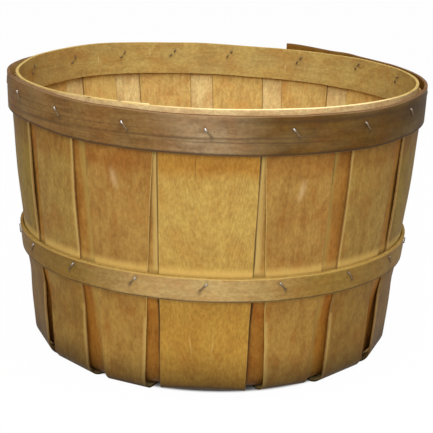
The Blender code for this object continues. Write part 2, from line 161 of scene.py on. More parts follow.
# Each set of staves: edges, shares of the foot lift, bulges, slot, first layer at the crossing, first seed
STAVE_SETS = {
    "outer_stave": (
        OUTER_STAVE_EDGES, OUTER_FOOT_LIFT_SHARES, OUTER_STAVE_BULGES, "stave_wood", 0, 0.0),
    "inner_stave": (
        INNER_STAVE_EDGES, INNER_FOOT_LIFT_SHARES, INNER_STAVE_BULGES, "inner_stave_wood",
        len(OUTER_STAVE_EDGES), 100.0),
}

# Each hoop: lap, rise of its top, seed and columns
HOOPS = {
    "outer_rim_hoop": (OUTER_LAP, OUTER_HOOP_RISE_SHARES, 21.0, HOOP_COLUMNS),
    "inner_rim_hoop": (INNER_LAP, INNER_HOOP_RISE_SHARES, 22.0, HOOP_COLUMNS),
    "middle_hoop": (MIDDLE_LAP, ((0.0, 0.0),), 23.0, MIDDLE_HOOP_COLUMNS),
}

# Press of the staples' crowns on the wood, and iron stain round their legs, up to some degrees away
WIRE_PRESS = 0.00012
WIRE_PRESS_REACH = 0.0010
IRON_STAIN_REACH = 0.0011
STAIN_DRIP = 2.6
STAIN_DARKNESS = 0.40
STAIN_SPREAD = 0.3
INSIDE_STAIN = 0.5
MARK_DEGREES = 4

# Wire: its bends in thicknesses, a point of its crown, its tips, where its painted glint lies or is dimmed,
# and its rust
BEND_RADIUS = 0.75
CROWN_KNOT = 0.33
TIP_TAPER = 0.55
GLINT_FROM = 0.30
GLINT_SPAN = 0.45
RIGHT_DIMMING = (5, 40, 0.2)
SIDE_DIMMING = (62, 15, 0.1)
WIRE_METALLIC = (0.3, 1.0)
WIRE_ROUGHNESS = (0.70, 0.25)
WIRE_NOISE_SCALES = (900.0, 4000.0)
WIRE_BUMP = (0.5, 0.00004)
RUST_SPAN = (0.62, 0.74)
RUST_GAIN = 0.3

# Heights of paint layers, each from where it is clear to where it is full
# The darker tone under the middle hoop is partly the veneer's own colour and partly painted shade of the
# lower wall
LOW_TONE_SPAN = (0.055, 0.100)
# Painted shadow of the rim hoop on the staves just under it
RIM_SHADOW_SPAN = (0.1405, 0.1500)
# Painted light thrown up by the middle hoop onto the staves just over it
BOUNCE_LIGHT_FOOT_SPAN = (0.0780, 0.0790)
BOUNCE_LIGHT_TOP_SPAN = (0.0895, 0.0825)
# Painted shade at the foot, where the fold turns from the light, and a painted dark contact line along the
# fold
FOOT_SHADE_SPAN = (0.030, -0.004)
FOOT_LINE_SPAN = (0.0075, 0.0042)

# Heights between which the paint along edges shows: wear, painted highlights and painted shade
EVERYWHERE = (-1.0, 1.0)
UNDER_HOOP = (-1.0, 0.050)
OVER_HOOP = (0.085, 1.0)
UNDER_RIM = (0.138, 1.0)

# Painted shade at the foot by distance from the axis: where it is least, where it is full, and its two
# shares
FOOT_SHADE_REACH = (0.080, 0.112, 0.15, 1.0)

# Shares by which wood colours are multiplied
PALE_TINT = (1.20, 1.30, 1.28)
RUDDY_TINT = (0.98, 0.76, 0.60)
CLEAR_TINT = (1.035, 1.035, 1.04)
FADED_TINT = (0.73, 0.70, 0.66)
PORE_TINT = (0.45, 0.38, 0.30)

# Wood: depth of its arches, shine, strengths of its finest marks, relief, and wander of its lines
ARCH_DEPTH = 0.008
SHEEN = 0.06
FIBRE_STRENGTH = 0.16
PORE_STRENGTH = 0.30
SPECK_STRENGTH = 0.5
FIBRE_ROUGHNESS = 0.22
BUMP_STRENGTH = 0.6
RING_RELIEF = 0.35
PORE_RELIEF = 0.6
FINE_WANDER = 0.0012
MARK_WANDER = 0.0016
LEAST_EDGE_PAINT = 0.35

# Noises of the wood: width, length, detail and roughness of their cells
WANDER_CELLS = (0.050, 0.140, 1.0)
FINE_CELLS = (0.004, 0.030)
FIBRE_CELLS = (0.00035, 0.018, 3.0, 0.6)
EDGE_PAINT_CELLS = (0.004, 0.030, 3.0)
BAND_CELLS = (0.011, 0.022)
MARK_CELLS = (0.010, 0.020)

# Other spans of values over which a mask goes from 0 to 1, and the length of its soft ends
RING_RISE = (0.0, 0.75)
RING_FALL = (1.0, 0.86)
FIBRE_SPAN = (0.35, 0.65)
EDGE_PAINT_SPAN = (1.0, 0.25)
MARK_SIDE_SPAN = (1.0, 0.0)
MARK_END_SPAN = (1.0, 0.1)
MASK_SOFTNESS = 0.003

# Masks of noise: seed shift, cell width, length, detail, roughness, distortion, and where they are 0 and 1
WEATHER_NOISES = {
    "Bloom": (0, 0.018, 0.055, 4.0, 0.5, 0.0, 0.42, 0.72),
    "Specks": (0, 0.0012, 0.0024, 1.0, 0.5, 0.0, 0.74, 0.80),
}
FIGURE_NOISES = {
    "Streaks": (0, 0.0030, 0.120, 3.0, 0.5, 0.0, 0.30, 0.70),
    "Grain": (0, 0.0011, 0.040, 4.0, 0.6, 0.3, 0.36, 0.66),
    "Mottle": (0, 0.010, 0.018, 4.0, 0.6, 0.6, 0.36, 0.64),
    "Blotches": (40, 0.016, 0.022, 3.0, 0.65, 0.0, 0.40, 0.66),
    "Flecks": (0, 0.0017, 0.0032, 3.0, 0.7, 0.0, 0.38, 0.62),
    "Pores": (0, 0.00022, 0.0035, 1.0, 0.5, 0.0, 0.68, 0.76),
}

# Lamps and camera
LAMP_AIM = (0, 0, 0.10)
KEY_LAMP = (0.9, (-0.15, -1.25, 0.95))
TOP_LAMP = (0.8, (0.1, -0.25, 1.25))
SENSOR_WIDTH = 36.0
FLOOR_DROP = 0.0001


def length(name, description, default):
    """A size in metres."""
    return FloatProperty(
        name=name, description=description, default=default, min=0.0, precision=5, unit="LENGTH")


def turn(name, description, default):
    """An angle in degrees."""
    return FloatProperty(name=name, description=description, default=default)


def share(name, description, default):
    """A share or strength without a unit."""
    return FloatProperty(name=name, description=description, default=default, precision=4)


def colour(name, description, default):
    """A linear colour."""
    return FloatVectorProperty(
        name=name, description=description, default=default, min=0.0, max=1.0, size=3, subtype="COLOR")


class BasketSizes(bpy.types.PropertyGroup):
    """Sizes of the basket, the same as those of its solid parts."""

    rim_height: length("Rim height", "Top of the inner rim hoop over the floor", 0.184)
    wall_foot_radius: length("Wall foot radius", "Outer face of the wall, carried down to the floor", 0.1230)
    wall_slope: share("Wall slope", "Growth of the wall's radius with each unit of height", 0.0886)
    rim_slope: share("Rim slope", "The same inside the rim hoops", 0.0200)
    rim_bend_depth: length("Rim bend depth", "Depth under the rim down to which the rim slope holds", 0.0275)
    fit_gap: length("Fit gap", "Space between two pieces that lie on each other", 0.0003)
    veneer: length("Veneer", "Thickness of a stave", 0.0011)
    stave_top_drop: length("Stave top drop", "Depth of the staves' tops under the rim", 0.0060)
    fold_radius: length("Fold radius", "Outer radius of the bend at the foot", 0.0110)
    foot_flat: length("Foot flat", "Flat of an outer stave on the floor", 0.0060)
    inner_foot_flat: length("Inner foot flat", "Flat of an inner stave over the floor", 0.0020)
    foot_lift: length("Foot lift", "Height of the most lifted front fold over the floor", 0.0026)
    foot_tuck: length("Foot tuck", "Depth by which the wall lies further in under the middle hoop", 0.0017)
    tuck_span: length("Tuck span", "Height over which it comes in", 0.0180)
    round_height: length("Round from height", "Height over which hoops hold the wall round", 0.0660)
    neck_width: length("Neck width", "Width of a stave where the staves cross", 0.0220)
    neck_reach: length("Neck reach", "Distance from the middle at which the narrow part starts", 0.0600)
    hub_reach: length("Hub reach", "Distance from the middle at which the level part starts", 0.0220)
    hub_rise: length("Hub rise", "Height of the lowest stave over the floor at the middle", 0.0040)
    set_gap: length("Set gap", "Space between the outer and the inner set where they cross", 0.0006)
    outer_hoop_thickness: length("Outer hoop thickness", "Thickness of the outer rim hoop", 0.0022)
    outer_hoop_width: length("Outer hoop width", "Height of the outer rim hoop", 0.0235)
    inner_hoop_thickness: length("Inner hoop thickness", "Thickness of the inner rim hoop", 0.0020)
    inner_hoop_width: length("Inner hoop width", "Height of the inner rim hoop", 0.0240)
    middle_hoop_base: length("Middle hoop base", "Lower edge of the middle hoop over the floor", 0.0666)
    middle_hoop_width: length("Middle hoop width", "Height of the middle hoop", 0.0156)
    middle_hoop_thickness: length("Middle hoop thickness", "Thickness of the middle hoop", 0.0021)
    seat_step: turn("Seat step", "Degrees between the bends that the hoops' solids have", 6.0)
    stave_step: turn("Stave step", "Degrees between the bends that the staves' solids have", 5.0)
    lap_ramp: turn("Lap ramp", "Degrees over which a hoop's end climbs on its start", 7.0)
    wire_width: length("Wire width", "Width of a hoop staple's wire", 0.0010)
    wire_thickness: length("Wire thickness", "Thickness of a hoop staple's wire", 0.0007)
    crown_length: length("Crown length", "Length of a hoop staple's crown", 0.0068)
    clinch_length: length("Clinch length", "Length of a hoop staple's turned ends", 0.0026)
    rim_staple_drop: length("Rim staple drop", "Depth of the rim staples under the outer hoop's top", 0.0078)
    rim_staple_swing: length("Rim staple swing", "How much deeper they sit at the front", 0.0023)
    rim_staple_tilt: turn("Rim staple tilt", "Slant of the rim staples in degrees", -50.0)
    middle_staple_tilt: turn("Middle staple tilt", "Slant of the middle staples in degrees", 50.0)
    middle_staple_lift: length("Middle staple lift", "Height of those over their hoop's middle", 0.0022)
    bottom_crown_length: length("Bottom crown length", "Length of the bottom staple's crown", 0.0090)
    bottom_wire: length("Bottom wire", "Thickness of the bottom staple's wire", 0.0012)
    bottom_clinch_length: length("Bottom clinch length", "Length of the bottom staple's turned ends", 0.0032)
    bottom_staple_turn: turn("Bottom staple turn", "Turn of the bottom staple in degrees", 12.0)


class BasketColours(bpy.types.PropertyGroup):
    """Colours of the woods and the wire."""

    golden_veneer: colour("Golden veneer", "The wide front stave", (0.478, 0.307, 0.078))
    # The low tones are partly the veneers' own colour and partly painted shade of the wall under the middle
    # hoop
    golden_low: colour("Golden veneer, low", "The front stave under the middle hoop", (0.416, 0.230, 0.041))
    tan_veneer: colour("Tan veneer", "Staves beside the front one", (0.352, 0.192, 0.048))
    tan_low: colour("Tan veneer, low", "Those staves under the middle hoop", (0.333, 0.184, 0.042))
    olive_veneer: colour("Olive veneer", "Staves at the sides", (0.324, 0.193, 0.047))
    olive_low: colour("Olive veneer, low", "Those staves under the middle hoop", (0.268, 0.149, 0.031))
    far_veneer: colour("Far veneer", "The outermost staves that the front shows", (0.255, 0.154, 0.018))
    far_low: colour("Far veneer, low", "Those staves under the middle hoop", (0.198, 0.104, 0.014))
    lining_veneer: colour("Lining veneer", "Outer face of the inner staves", (0.344, 0.167, 0.034))
    lining_low: colour("Lining veneer, low", "Those faces under the middle hoop", (0.326, 0.136, 0.020))
    fresh_veneer: colour("Fresh veneer", "Strips that an outer stave has covered", (0.560, 0.380, 0.120))
    green_veneer: colour("Greenish veneer", "Older strips of that kind", (0.370, 0.238, 0.056))
    inside_veneer: colour("Inside veneer", "Face of the inner staves to the inside", (0.661, 0.448, 0.149))
    inside_pale: colour("Pale inside veneer", "Inner face of the outer staves", (0.757, 0.558, 0.250))
    # Also painted highlight on edges that catch the light, partly wear, and painted light on cut edges
    # beside the widest stave
    edge_veneer: colour("Edge veneer", "Faces beside a rubbed edge", (0.560, 0.380, 0.120))
    cut_veneer: colour("Cut veneer", "Cut edges of the staves", (0.300, 0.175, 0.055))
    # Painted light over the middle hoop and painted highlight along that hoop's top edge
    painted_light_and_pale_grain: colour("Rubbed veneer", "Staves just over the middle hoop", (0.782, 0.517, 0.144))
    hoop_left: colour("Outer hoop, left", "The outer hoop at the left front", (0.224, 0.111, 0.020))
    hoop_near: colour("Outer hoop, nearer", "The same between left and front", (0.240, 0.131, 0.042))
    hoop_front: colour("Outer hoop, front", "The outer hoop at the front", (0.355, 0.241, 0.131))
    hoop_right: colour("Outer hoop, right", "The outer hoop at the right front", (0.146, 0.073, 0.013))
    hoop_back: colour("Outer hoop, back", "The outer hoop at the back", (0.105, 0.060, 0.012))
    # Also the painted shade along the lower edges of the outer and middle hoops
    hoop_dark: colour("Outer hoop, dark grain", "Dark grain and dirt on the hoops", (0.055, 0.030, 0.014))
    # Painted highlight along the outer hoop's top edge
    hoop_top_light: colour("Outer hoop, edge", "Rubbed top edge of the outer hoop", (0.400, 0.245, 0.115))
    hoop_cut: colour("Outer hoop, cut", "Cut edges of the outer hoop", (0.190, 0.105, 0.050))
    lining_hoop: colour("Inner hoop", "Inner face of the inner rim hoop", (0.524, 0.367, 0.119))
    lining_hoop_pale: colour("Inner hoop, outside", "Outer face of that hoop", (0.777, 0.557, 0.286))
    lining_hoop_side: colour("Inner hoop, side cut", "Its cut edges at the sides", (0.480, 0.340, 0.115))
    lining_hoop_cut: colour("Inner hoop, cut", "Its cut edges at the front", (0.985, 0.780, 0.413))
    middle_hoop: colour("Middle hoop", "The middle hoop at the front", (0.478, 0.326, 0.130))
    middle_side: colour("Middle hoop, side", "The middle hoop at the sides", (0.248, 0.147, 0.029))
    middle_hoop_cut: colour("Middle hoop, cut", "Cut edges of the middle hoop", (0.420, 0.270, 0.070))
    # Also the painted shade at the foot, in the corners and beside the staves' edges
    soil: colour("Soil", "Dirt at the foot and in the corners", (0.021, 0.012, 0.005))
    iron_stain: colour("Iron stain", "Dark stain round the staples", (0.060, 0.040, 0.024))
    weathered: colour("Weathered", "Grey bloom on old wood", (0.285, 0.213, 0.112))
    # Painted glint at the upper end of a staple's crown
    bright_wire: colour("Bright wire", "Wire where it was struck", (0.900, 0.890, 0.860))
    dull_wire: colour("Dull wire", "Wire of the bottom staple elsewhere", (0.322, 0.231, 0.119))
    worn_wire: colour("Worn wire", "Wire of the hoops' staples elsewhere", (0.190, 0.125, 0.062))
    rust: colour("Rust", "Rust on the wire", (0.090, 0.045, 0.022))


class StageSettings(bpy.types.PropertyGroup):
    """Floor, lamps and camera."""

    floor_size: length("Floor size", "Side of the square floor", 9.0)
    floor_colour: colour("Floor colour", "Pale floor", (0.80, 0.80, 0.80))
    floor_glow: share("Floor glow", "Share of plain white that the camera sees in the floor", 0.98)
    shadow_glow: share("Shadow glow", "The same under the basket", 0.0)
    shadow_core: length("Shadow core", "Distance from the middle up to which that holds", 0.1090)
    shadow_edge: length("Shadow edge", "Distance from which the floor is white", 0.1135)
    ambient: share("Ambient", "Even light from all round", 0.25)
    key_power: share("Key power", "Watts of the soft lamp over the camera", 15.0)
    top_power: share("Top power", "Watts of the soft lamp over the basket", 12.5)
    camera_distance: length("Camera distance", "Level distance from the basket's axis", 0.7846)
    camera_height: length("Camera height", "Height over the floor", 0.3080)
    camera_pitch: turn("Camera pitch", "Downward pitch in degrees", 16.05)
    camera_yaw: turn("Camera yaw", "Turn to the right in degrees", 0.18)
    camera_roll: turn("Camera roll", "Roll in degrees", 1.94)
    lens: share("Lens", "Focal length in millimetres", 97.1)


def outward(angle):
    """Level direction out of the basket at an angle from the front."""
    bearing = math.radians(angle)
    return Vector((math.sin(bearing), -math.cos(bearing), 0))


def sideways(angle):
    """Level direction along the wall, towards growing angles."""
    bearing = math.radians(angle)
    return Vector((math.cos(bearing), math.sin(bearing), 0))


def held(value):
    return min(max(value, 0.0), 1.0)


def smooth(part):
    """Ease from 0 to 1 without a corner at either end."""
    return held(part) ** 2 * (3 - 2 * held(part))


def between(first, last, part):
    return first + (last - first) * part


def waver(x, y, seed):
    """Smooth noise from -1 to 1."""
    return noise.noise(Vector((x, y, seed)))


def facet_sag(radius, step):
    """How far the middle of a flat facet lies inside the circle through its corners."""
    return radius * (1 / math.cos(math.radians(step) / 2) - 1)


def spread(low, high, count):
    """Places across a strip: one at each cut edge, one close by, and even ones between."""
    first, last = low + SUPPORT, high - SUPPORT
    inner = [between(first, last, step / (count - 1)) for step in range(count)]
    return [low + EDGE_SOFTNESS, *inner, high - EDGE_SOFTNESS]


class Form:
    """The basket's shape, worked out from its sizes."""

    def __init__(self, sizes):
        self.sizes = sizes
        self.lean = math.atan(sizes.wall_slope)
        self.layer_pitch = sizes.veneer + sizes.fit_gap
        self.rim_bend = sizes.rim_height - sizes.rim_bend_depth
        self.fold_top = sizes.fold_radius * (1 - math.sin(self.lean))
        self.fold_centre = self.wall_radius(self.fold_top) - sizes.fold_radius * math.cos(self.lean)
        self.stave_top = sizes.rim_height - sizes.stave_top_drop
        self.corner_bow = self.widest_half(INNER_STAVE_EDGES) ** 2 / (2 * sizes.wall_foot_radius)
        self.rim_radius = self.wall_radius(sizes.rim_height)
        self.rim_sag = facet_sag(self.rim_radius, sizes.seat_step)
        self.outer_seat = sizes.fit_gap + self.rim_sag
        stave_sag = facet_sag(self.rim_radius, sizes.stave_step)
        self.inner_seat = self.layer_pitch + sizes.veneer + sizes.fit_gap + stave_sag

    def wall_radius(self, height):
        """Outer face of the outer staves at a height; the rim hoops hold the wall's top steeper."""
        sizes = self.sizes
        straight = sizes.wall_foot_radius + sizes.wall_slope * height
        return straight - (sizes.wall_slope - sizes.rim_slope) * max(height - self.rim_bend, 0.0)

    def degree_at(self, height):
        """Length of a degree round the wall at a height."""
        return math.radians(1) * self.wall_radius(height)

    def tuck(self, height):
        """How far the wall lies further in under the middle hoop."""
        return self.sizes.foot_tuck * smooth((self.sizes.round_height - height) / self.sizes.tuck_span)

    def roundness(self, height):
        """1 where hoops hold the veneer round, falling to 0, flat, at the fold."""
        return smooth((height - self.fold_top) / (self.sizes.round_height - self.fold_top))

    def directions(self, edges):
        """Angle of each stave's centre line under the bottom, at its front half."""
        return [(sum(fold) + sum(back_fold)) / 4 - 90 for _, fold, _, back_fold in edges]

    def widest_half(self, edges):
        """Largest sideways reach of a folded stave from its own centre line."""
        reach = 0.0
        for direction, (_, front_fold, _, back_fold) in zip(self.directions(edges), edges):
            for centre, fold in ((direction, front_fold), (direction + 180, back_fold)):
                reach = max(reach, abs(fold[0] - centre), abs(fold[1] - centre))
        return math.radians(reach) * self.sizes.wall_foot_radius

    def span_bulge(self, height, upper, lower):
        """Bulge of a stave between the hoops that hold it."""
        sizes = self.sizes
        rim_base = sizes.rim_height - max(sizes.outer_hoop_width, sizes.inner_hoop_width) * RIM_HOLD
        hoop_top = sizes.middle_hoop_base + sizes.middle_hoop_width
        for low, high, rise in ((hoop_top, rim_base, upper), (self.fold_top, sizes.middle_hoop_base, lower)):
            if low < height < high:
                return rise * math.sin(math.pi * (height - low) / (high - low)) ** 2
        return 0.0

    def wall_frame(self, angle, height, tilt):
        """Frame on the wall's outer face: X along a staple's crown, Y across it, Z out of the wall."""
        lean = math.atan(self.sizes.rim_slope if height > self.rim_bend else self.sizes.wall_slope)
        normal = outward(angle) * math.cos(lean) - Vector((0, 0, math.sin(lean)))
        upslope = outward(angle) * math.sin(lean) + Vector((0, 0, math.cos(lean)))
        bearing = math.radians(tilt)
        along = sideways(angle) * math.cos(bearing) + upslope * math.sin(bearing)
        frame_there = Matrix((along, normal.cross(along), normal)).transposed().to_4x4()
        frame_there.translation = outward(angle) * self.wall_radius(height) + Vector((0, 0, height))
        return frame_there


def stave_point(direction, out, aside, bend, height):
    """Point across a stave, which is flat when bend is 0 and follows the wall when it is 1."""
    wrap = bend * aside / out
    if wrap:
        out -= aside * (1 - math.cos(wrap)) / wrap
        aside *= math.sin(wrap) / wrap
    return outward(direction) * out + sideways(direction) * aside + Vector((0, 0, height))


def half_stave(form, direction, rim_edges, fold_edges, raised, layer, inner, bulges, seed):
    """Rows of a stave's outer face, rim to hub: reach, left, right, bend, height and edge lift."""
    sizes = form.sizes
    inset, bow, way = (form.layer_pitch, form.corner_bow, -1) if inner else (0.0, 0.0, 1)
    upper, lower, lift = [part / TENTHS for part in bulges]
    top = form.stave_top - STAVE_END_WANDER * abs(waver(direction, 1.5, seed))
    fold_top = form.fold_top + raised
    rows = []
    for step in range(WALL_ROWS + 1):
        height = between(top, fold_top, step / WALL_ROWS)
        part = (form.stave_top - height) / (form.stave_top - fold_top)
        bend = form.roundness(height)
        reach = form.wall_radius(height) - inset / math.cos(form.lean) - form.tuck(height) - bow * (1 - bend)
        left, right = [
            math.radians(between(rim, fold, part) - direction) * reach
            for rim, fold in zip(rim_edges, fold_edges)
        ]
        reach += way * form.span_bulge(height, upper, lower)
        rows.append((reach, left, right, bend, height, way * form.span_bulge(height, lift, lift)))
    left, right = rows.pop()[1:3]
    radius = sizes.fold_radius - inset
    fold_centre = form.fold_centre + sizes.wall_slope * raised - sizes.foot_tuck - bow
    for step in range(FOLD_ROWS + 1):
        bearing = between(form.lean, math.pi / 2, step / FOLD_ROWS)
        height = raised + sizes.fold_radius - radius * math.sin(bearing)
        rows.append((fold_centre + radius * math.cos(bearing), left, right, 0.0, height, 0.0))
    foot_edge = fold_centre - (sizes.inner_foot_flat if inner else sizes.foot_flat)
    hub_height = sizes.hub_rise + layer * form.layer_pitch + (sizes.set_gap if inner else 0.0)
    neck = sizes.neck_width / 2
    for step in range(TAPER_ROWS + NECK_ROWS + 1):
        part = min(step / TAPER_ROWS, 1.0)
        reach = between(foot_edge, sizes.neck_reach, part)
        if step > TAPER_ROWS:
            reach = between(sizes.neck_reach, sizes.hub_reach, (step - TAPER_ROWS) / NECK_ROWS)
        rise = (foot_edge - reach) / (foot_edge - sizes.hub_reach)
        height = between(inset, hub_height, rise)
        height += raised * held((reach - sizes.neck_reach) / (foot_edge - sizes.neck_reach))
        rows.append((reach, between(left, -neck, part), between(right, neck, part), 0.0, height, 0.0))
    rows += [(sizes.hub_reach * part, -neck, neck, 0.0, hub_height, 0.0) for part in HUB_ROW_SHARES]
    return rows


def cover_edges(form, height):
    """Angles of the left and right edges of every outer stave at a height."""
    part = held((form.stave_top - height) / (form.stave_top - form.fold_top))
    pairs = [pair for edges in OUTER_STAVE_EDGES for pair in (edges[:2], edges[2:])]
    return [[between(rim[side], fold[side], part) for rim, fold in pairs] for side in (0, 1)]


def uncovered(form, angle, lefts, rights):
    """Distances from the outer staves on the left and on the right of a place on the wall."""
    found = []
    for offs in ([angle - right for right in rights], [left - angle for left in lefts]):
        turned = [(off + COVERED_DEGREES) % 360 - COVERED_DEGREES for off in offs]
        found.append(math.radians(min(turned)) * form.sizes.wall_foot_radius)
    return found


def stave_face(form, edges, direction, raised, layer, inner, bulges, seed):
    """Outer face of a whole stave as a grid of points, with its strip coordinates and distances."""
    front = half_stave(form, direction, *edges[:2], raised, layer, inner, bulges, seed)
    back = half_stave(form, direction + 180, *edges[2:], 0.0, layer, inner, bulges, seed + BACK_SEED_SHIFT)
    points, acrosses, gaps, covers = [], [], [], []
    way = -1 if inner else 1
    for bearing, sign, rows in ((direction, 1, front), (direction + 180, -1, back[::-1])):
        for reach, left, right, bend, height, lift in rows:
            run = (reach * sign + height) / EDGE_WANDER_LENGTH
            left, right = [
                side + EDGE_WANDER * waver(run, row, seed)
                for side, row in zip((left, right), STAVE_NOISE_ROWS)]
            around = cover_edges(form, height)
            wall = max(reach, form.fold_centre)
            line, cover, asides = [], [], spread(left, right, STAVE_COLUMNS)[::sign]
            for aside in asides:
                middle = abs(2 * aside - left - right) / (right - left)
                uneven = waver(
                    run * FACE_WANDER_DRAW, aside / FACE_WANDER_LENGTH, seed + FACE_SEED_SHIFT)
                uneven = FACE_WANDER * (uneven + 1) / 2 * form.span_bulge(height, 1, 1)
                out = reach + lift * middle ** 3 + way * uneven
                line.append(stave_point(bearing, out, aside, bend, height))
                cover.append(uncovered(form, bearing + math.degrees(aside / wall), *around))
            points.append(line)
            covers.append(cover)
            acrosses.append([sign * aside for aside in asides])
            low, high = sorted((sign * left, sign * right))
            gaps.append([(across - low, high - across) for across in acrosses[-1]])
    return np.array(points), np.array(acrosses), np.array(gaps), np.array(covers)


def unit(vectors):
    return vectors / np.linalg.norm(vectors, axis=-1, keepdims=True)


def face_normals(face):
    """Outward directions of a strip's outer face, and its directions across."""
    across = unit(np.gradient(face, axis=1))
    return unit(np.cross(unit(np.gradient(face, axis=0)), across)), across


def with_ends(values):
    """The rows of a strip with two more at each end."""
    return np.concatenate((values[:1], values[:1], values, values[-1:], values[-1:]))


def new_object(name, points, polygons, finishes):
    """A smooth mesh object with its finishes."""
    mesh = bpy.data.meshes.new(name)
    mesh.from_pydata(points, [], polygons)
    for finish in finishes:
        mesh.materials.append(finish)
    mesh.shade_smooth()
    item = bpy.data.objects.new(name, mesh)
    bpy.context.collection.objects.link(item)
    return item


def slab(name, face, thickness, across, fields, finishes):
    """A closed strip under a grid of points, with softly rounded cut edges and ends.

    Its faces take the first finish outside, the second inside and the third where it is cut.
    fields holds named values of the outer and the inner face.
    """
    normals, asides = face_normals(face)
    depth = np.broadcast_to(thickness, face.shape[:2])[..., None]
    soft, corner = EDGE_SOFTNESS, EDGE_SOFTNESS * (1 - math.sqrt(0.5))
    count = face.shape[1]

    def cut_edge(column, sign):
        """Four rows of points round a cut edge, from the outer to the inner face."""
        base, side, normal = face[:, column], asides[:, column] * sign, normals[:, column]
        deep = depth[:, column]
        places = ((soft - corner, corner), (soft, soft), (soft, deep - soft), (soft - corner, deep - corner))
        return np.stack([base + side * wide - normal * low for wide, low in places], 1)

    back = (face - normals * depth)[:, ::-1]
    section = np.concatenate((face, cut_edge(-1, 1), back, cut_edge(0, -1)[:, ::-1]), axis=1)
    size = section.shape[1]
    partner = [*range(2 * count + 3, -1, -1), *range(size - 1, size - 5, -1)]

    def closing(row, step):
        """Two more rows that round a strip's end."""
        line, way = section[row], unit(section[row] - section[row + step])
        middle = (line + line[partner]) / 2
        thick = float(np.mean(depth[row]))
        return [
            middle + (line - middle) * (1 - 2 * low / thick) + way * out
            for out, low in ((soft - corner, corner), (soft, soft))
        ]

    section = np.concatenate((closing(0, 1)[::-1], section, closing(-1, -1)))
    steps = np.linalg.norm(np.diff(face[:, count // 2], axis=0), axis=1)
    run = with_ends(np.concatenate(([0.0], np.cumsum(steps)))[:, None])
    deep = np.array(CUT_ROWS)[None] * float(np.mean(depth))
    right, left = across[:, -1:] + soft + deep, across[:, :1] - soft - deep[:, ::-1]
    strip = with_ends(np.concatenate((across, right, across[:, ::-1], left), axis=1))

    polygons, kinds = [], []
    for row in range(len(section) - 1):
        here, there = row * size, (row + 1) * size
        for step in range(size):
            after = (step + 1) % size
            polygons.append((here + step, there + step, there + after, here + after))
        kinds += [0] * (count - 1) + [2] * 5 + [1] * (count - 1) + [2] * 5
    cap = [(step, step + 1, partner[step + 1], partner[step]) for step in range(count - 1)]
    cap += [tuple(range(count - 1, count + 5)), (*range(2 * count + 3, size), 0)]
    ending = (len(section) - 1) * size
    for corners in cap:
        polygons += [corners, tuple(ending + corner_index for corner_index in corners[::-1])]
        kinds += [2, 2]

    item = new_object(name, section.reshape(-1, 3).tolist(), polygons, finishes)
    mesh = item.data
    mesh.polygons.foreach_set("material_index", kinds)
    corners = np.zeros(len(mesh.loops), np.int32)
    mesh.loops.foreach_get("vertex_index", corners)
    sheet = np.stack((strip, np.broadcast_to(run, strip.shape)), axis=-1).reshape(-1, 2)
    mesh.uv_layers.new(name="strip").data.foreach_set("uv", sheet[corners].astype(np.float32).ravel())
    for label, (outer, inner) in fields.items():
        right, left = np.repeat(outer[:, -1:], 4, axis=1), np.repeat(outer[:, :1], 4, axis=1)
        values = with_ends(np.concatenate((outer, right, inner[:, ::-1], left), axis=1))
        layer = mesh.attributes.new(label, "FLOAT", "POINT")
        layer.data.foreach_set("value", values.astype(np.float32).ravel())
    mesh.validate()
    return item


def place(item, node_name):
    """Hang a piece on the basket in the place of its solid."""
    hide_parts(node_name)
    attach(item, BODY)


def sides_of(kind, values):
    """Named values of both faces of a strip from pairs for its left and right edge."""
    left, right = values[..., 0], values[..., 1]
    return {f"{kind}_left": (left, left), f"{kind}_right": (right, right)}


def make_staves(form, kind, finishes):
    """One set of crossed staves."""
    edges, lift_shares, bulges, slot, first_layer, first_seed = STAVE_SETS[kind]
    inner = first_layer > 0
    for index, (direction, pair) in enumerate(zip(form.directions(edges), edges)):
        layer = (index * LAYER_STRIDE) % len(edges) + first_layer
        raised = form.sizes.foot_lift * lift_shares[index]
        face, across, gaps, covers = stave_face(
            form, pair, direction, raised, layer, inner, bulges[index], index * STAVE_SEED_STEP + first_seed)
        fields = {**sides_of("from", gaps), **sides_of("cover", covers)}
        name = f"{kind}_{index + 1}"
        place(slab(f"{name}_veneer", face, form.sizes.veneer, across, fields, finishes[index]), name)


def rise_share(knots, angle):
    """Share of its width by which a hoop's top stands over the rim, from a table of knots."""
    for (first, low), (last, high) in zip(knots, knots[1:]):
        if first <= angle <= last:
            return between(low, high, smooth((angle - first) / (last - first)))
    return knots[0][1]


def hoop_angles(lap, staples):
    """Angles of a hoop's rows from its start to its stop, closer where a staple holds it."""
    start, stop = lap[0], lap[1] + 360
    wanted = [start, start + LEAST_STEP, stop - LEAST_STEP, stop]
    for angle in staples:
        for whole in (angle, angle + 360):
            wanted += [whole + step for step in STAPLE_STEPS if start < whole + step < stop]
    count = round((stop - start) / HOOP_STEP)
    wanted += [between(start, stop, step / count) for step in range(count + 1)]
    kept = [start]
    for angle in sorted(wanted):
        if angle - kept[-1] >= LEAST_STEP - 1e-6:
            kept.append(angle)
    kept[-1] = stop
    return kept


def staple_marks(form, angle, height, staples):
    """Press of the nearest staple's crown on the wood, and iron stain round its legs."""
    press, stain = 0.0, 0.0
    half = form.sizes.crown_length / 2
    for place_angle, place_height, tilt, darkness in staples:
        off = (angle - place_angle + 180) % 360 - 180
        if abs(off) > MARK_DEGREES:
            continue
        x = math.radians(off) * form.wall_radius(height)
        y = (height - place_height) / math.cos(form.lean)
        cosine, sine = math.cos(math.radians(tilt)), math.sin(math.radians(tilt))
        past = max(abs(x * cosine + y * sine) - half, 0.0)
        aside = y * cosine - x * sine
        press = max(press, math.exp(-(past ** 2 + aside ** 2) / WIRE_PRESS_REACH ** 2))
        for leg in (-half, half):
            leg_x, leg_y = x - leg * cosine, y - leg * sine
            run = leg_y / (STAIN_DRIP if leg_y < 0 else 1.0)
            stain = max(stain, darkness * math.exp(-(leg_x ** 2 + run ** 2) / IRON_STAIN_REACH ** 2))
    return press, stain


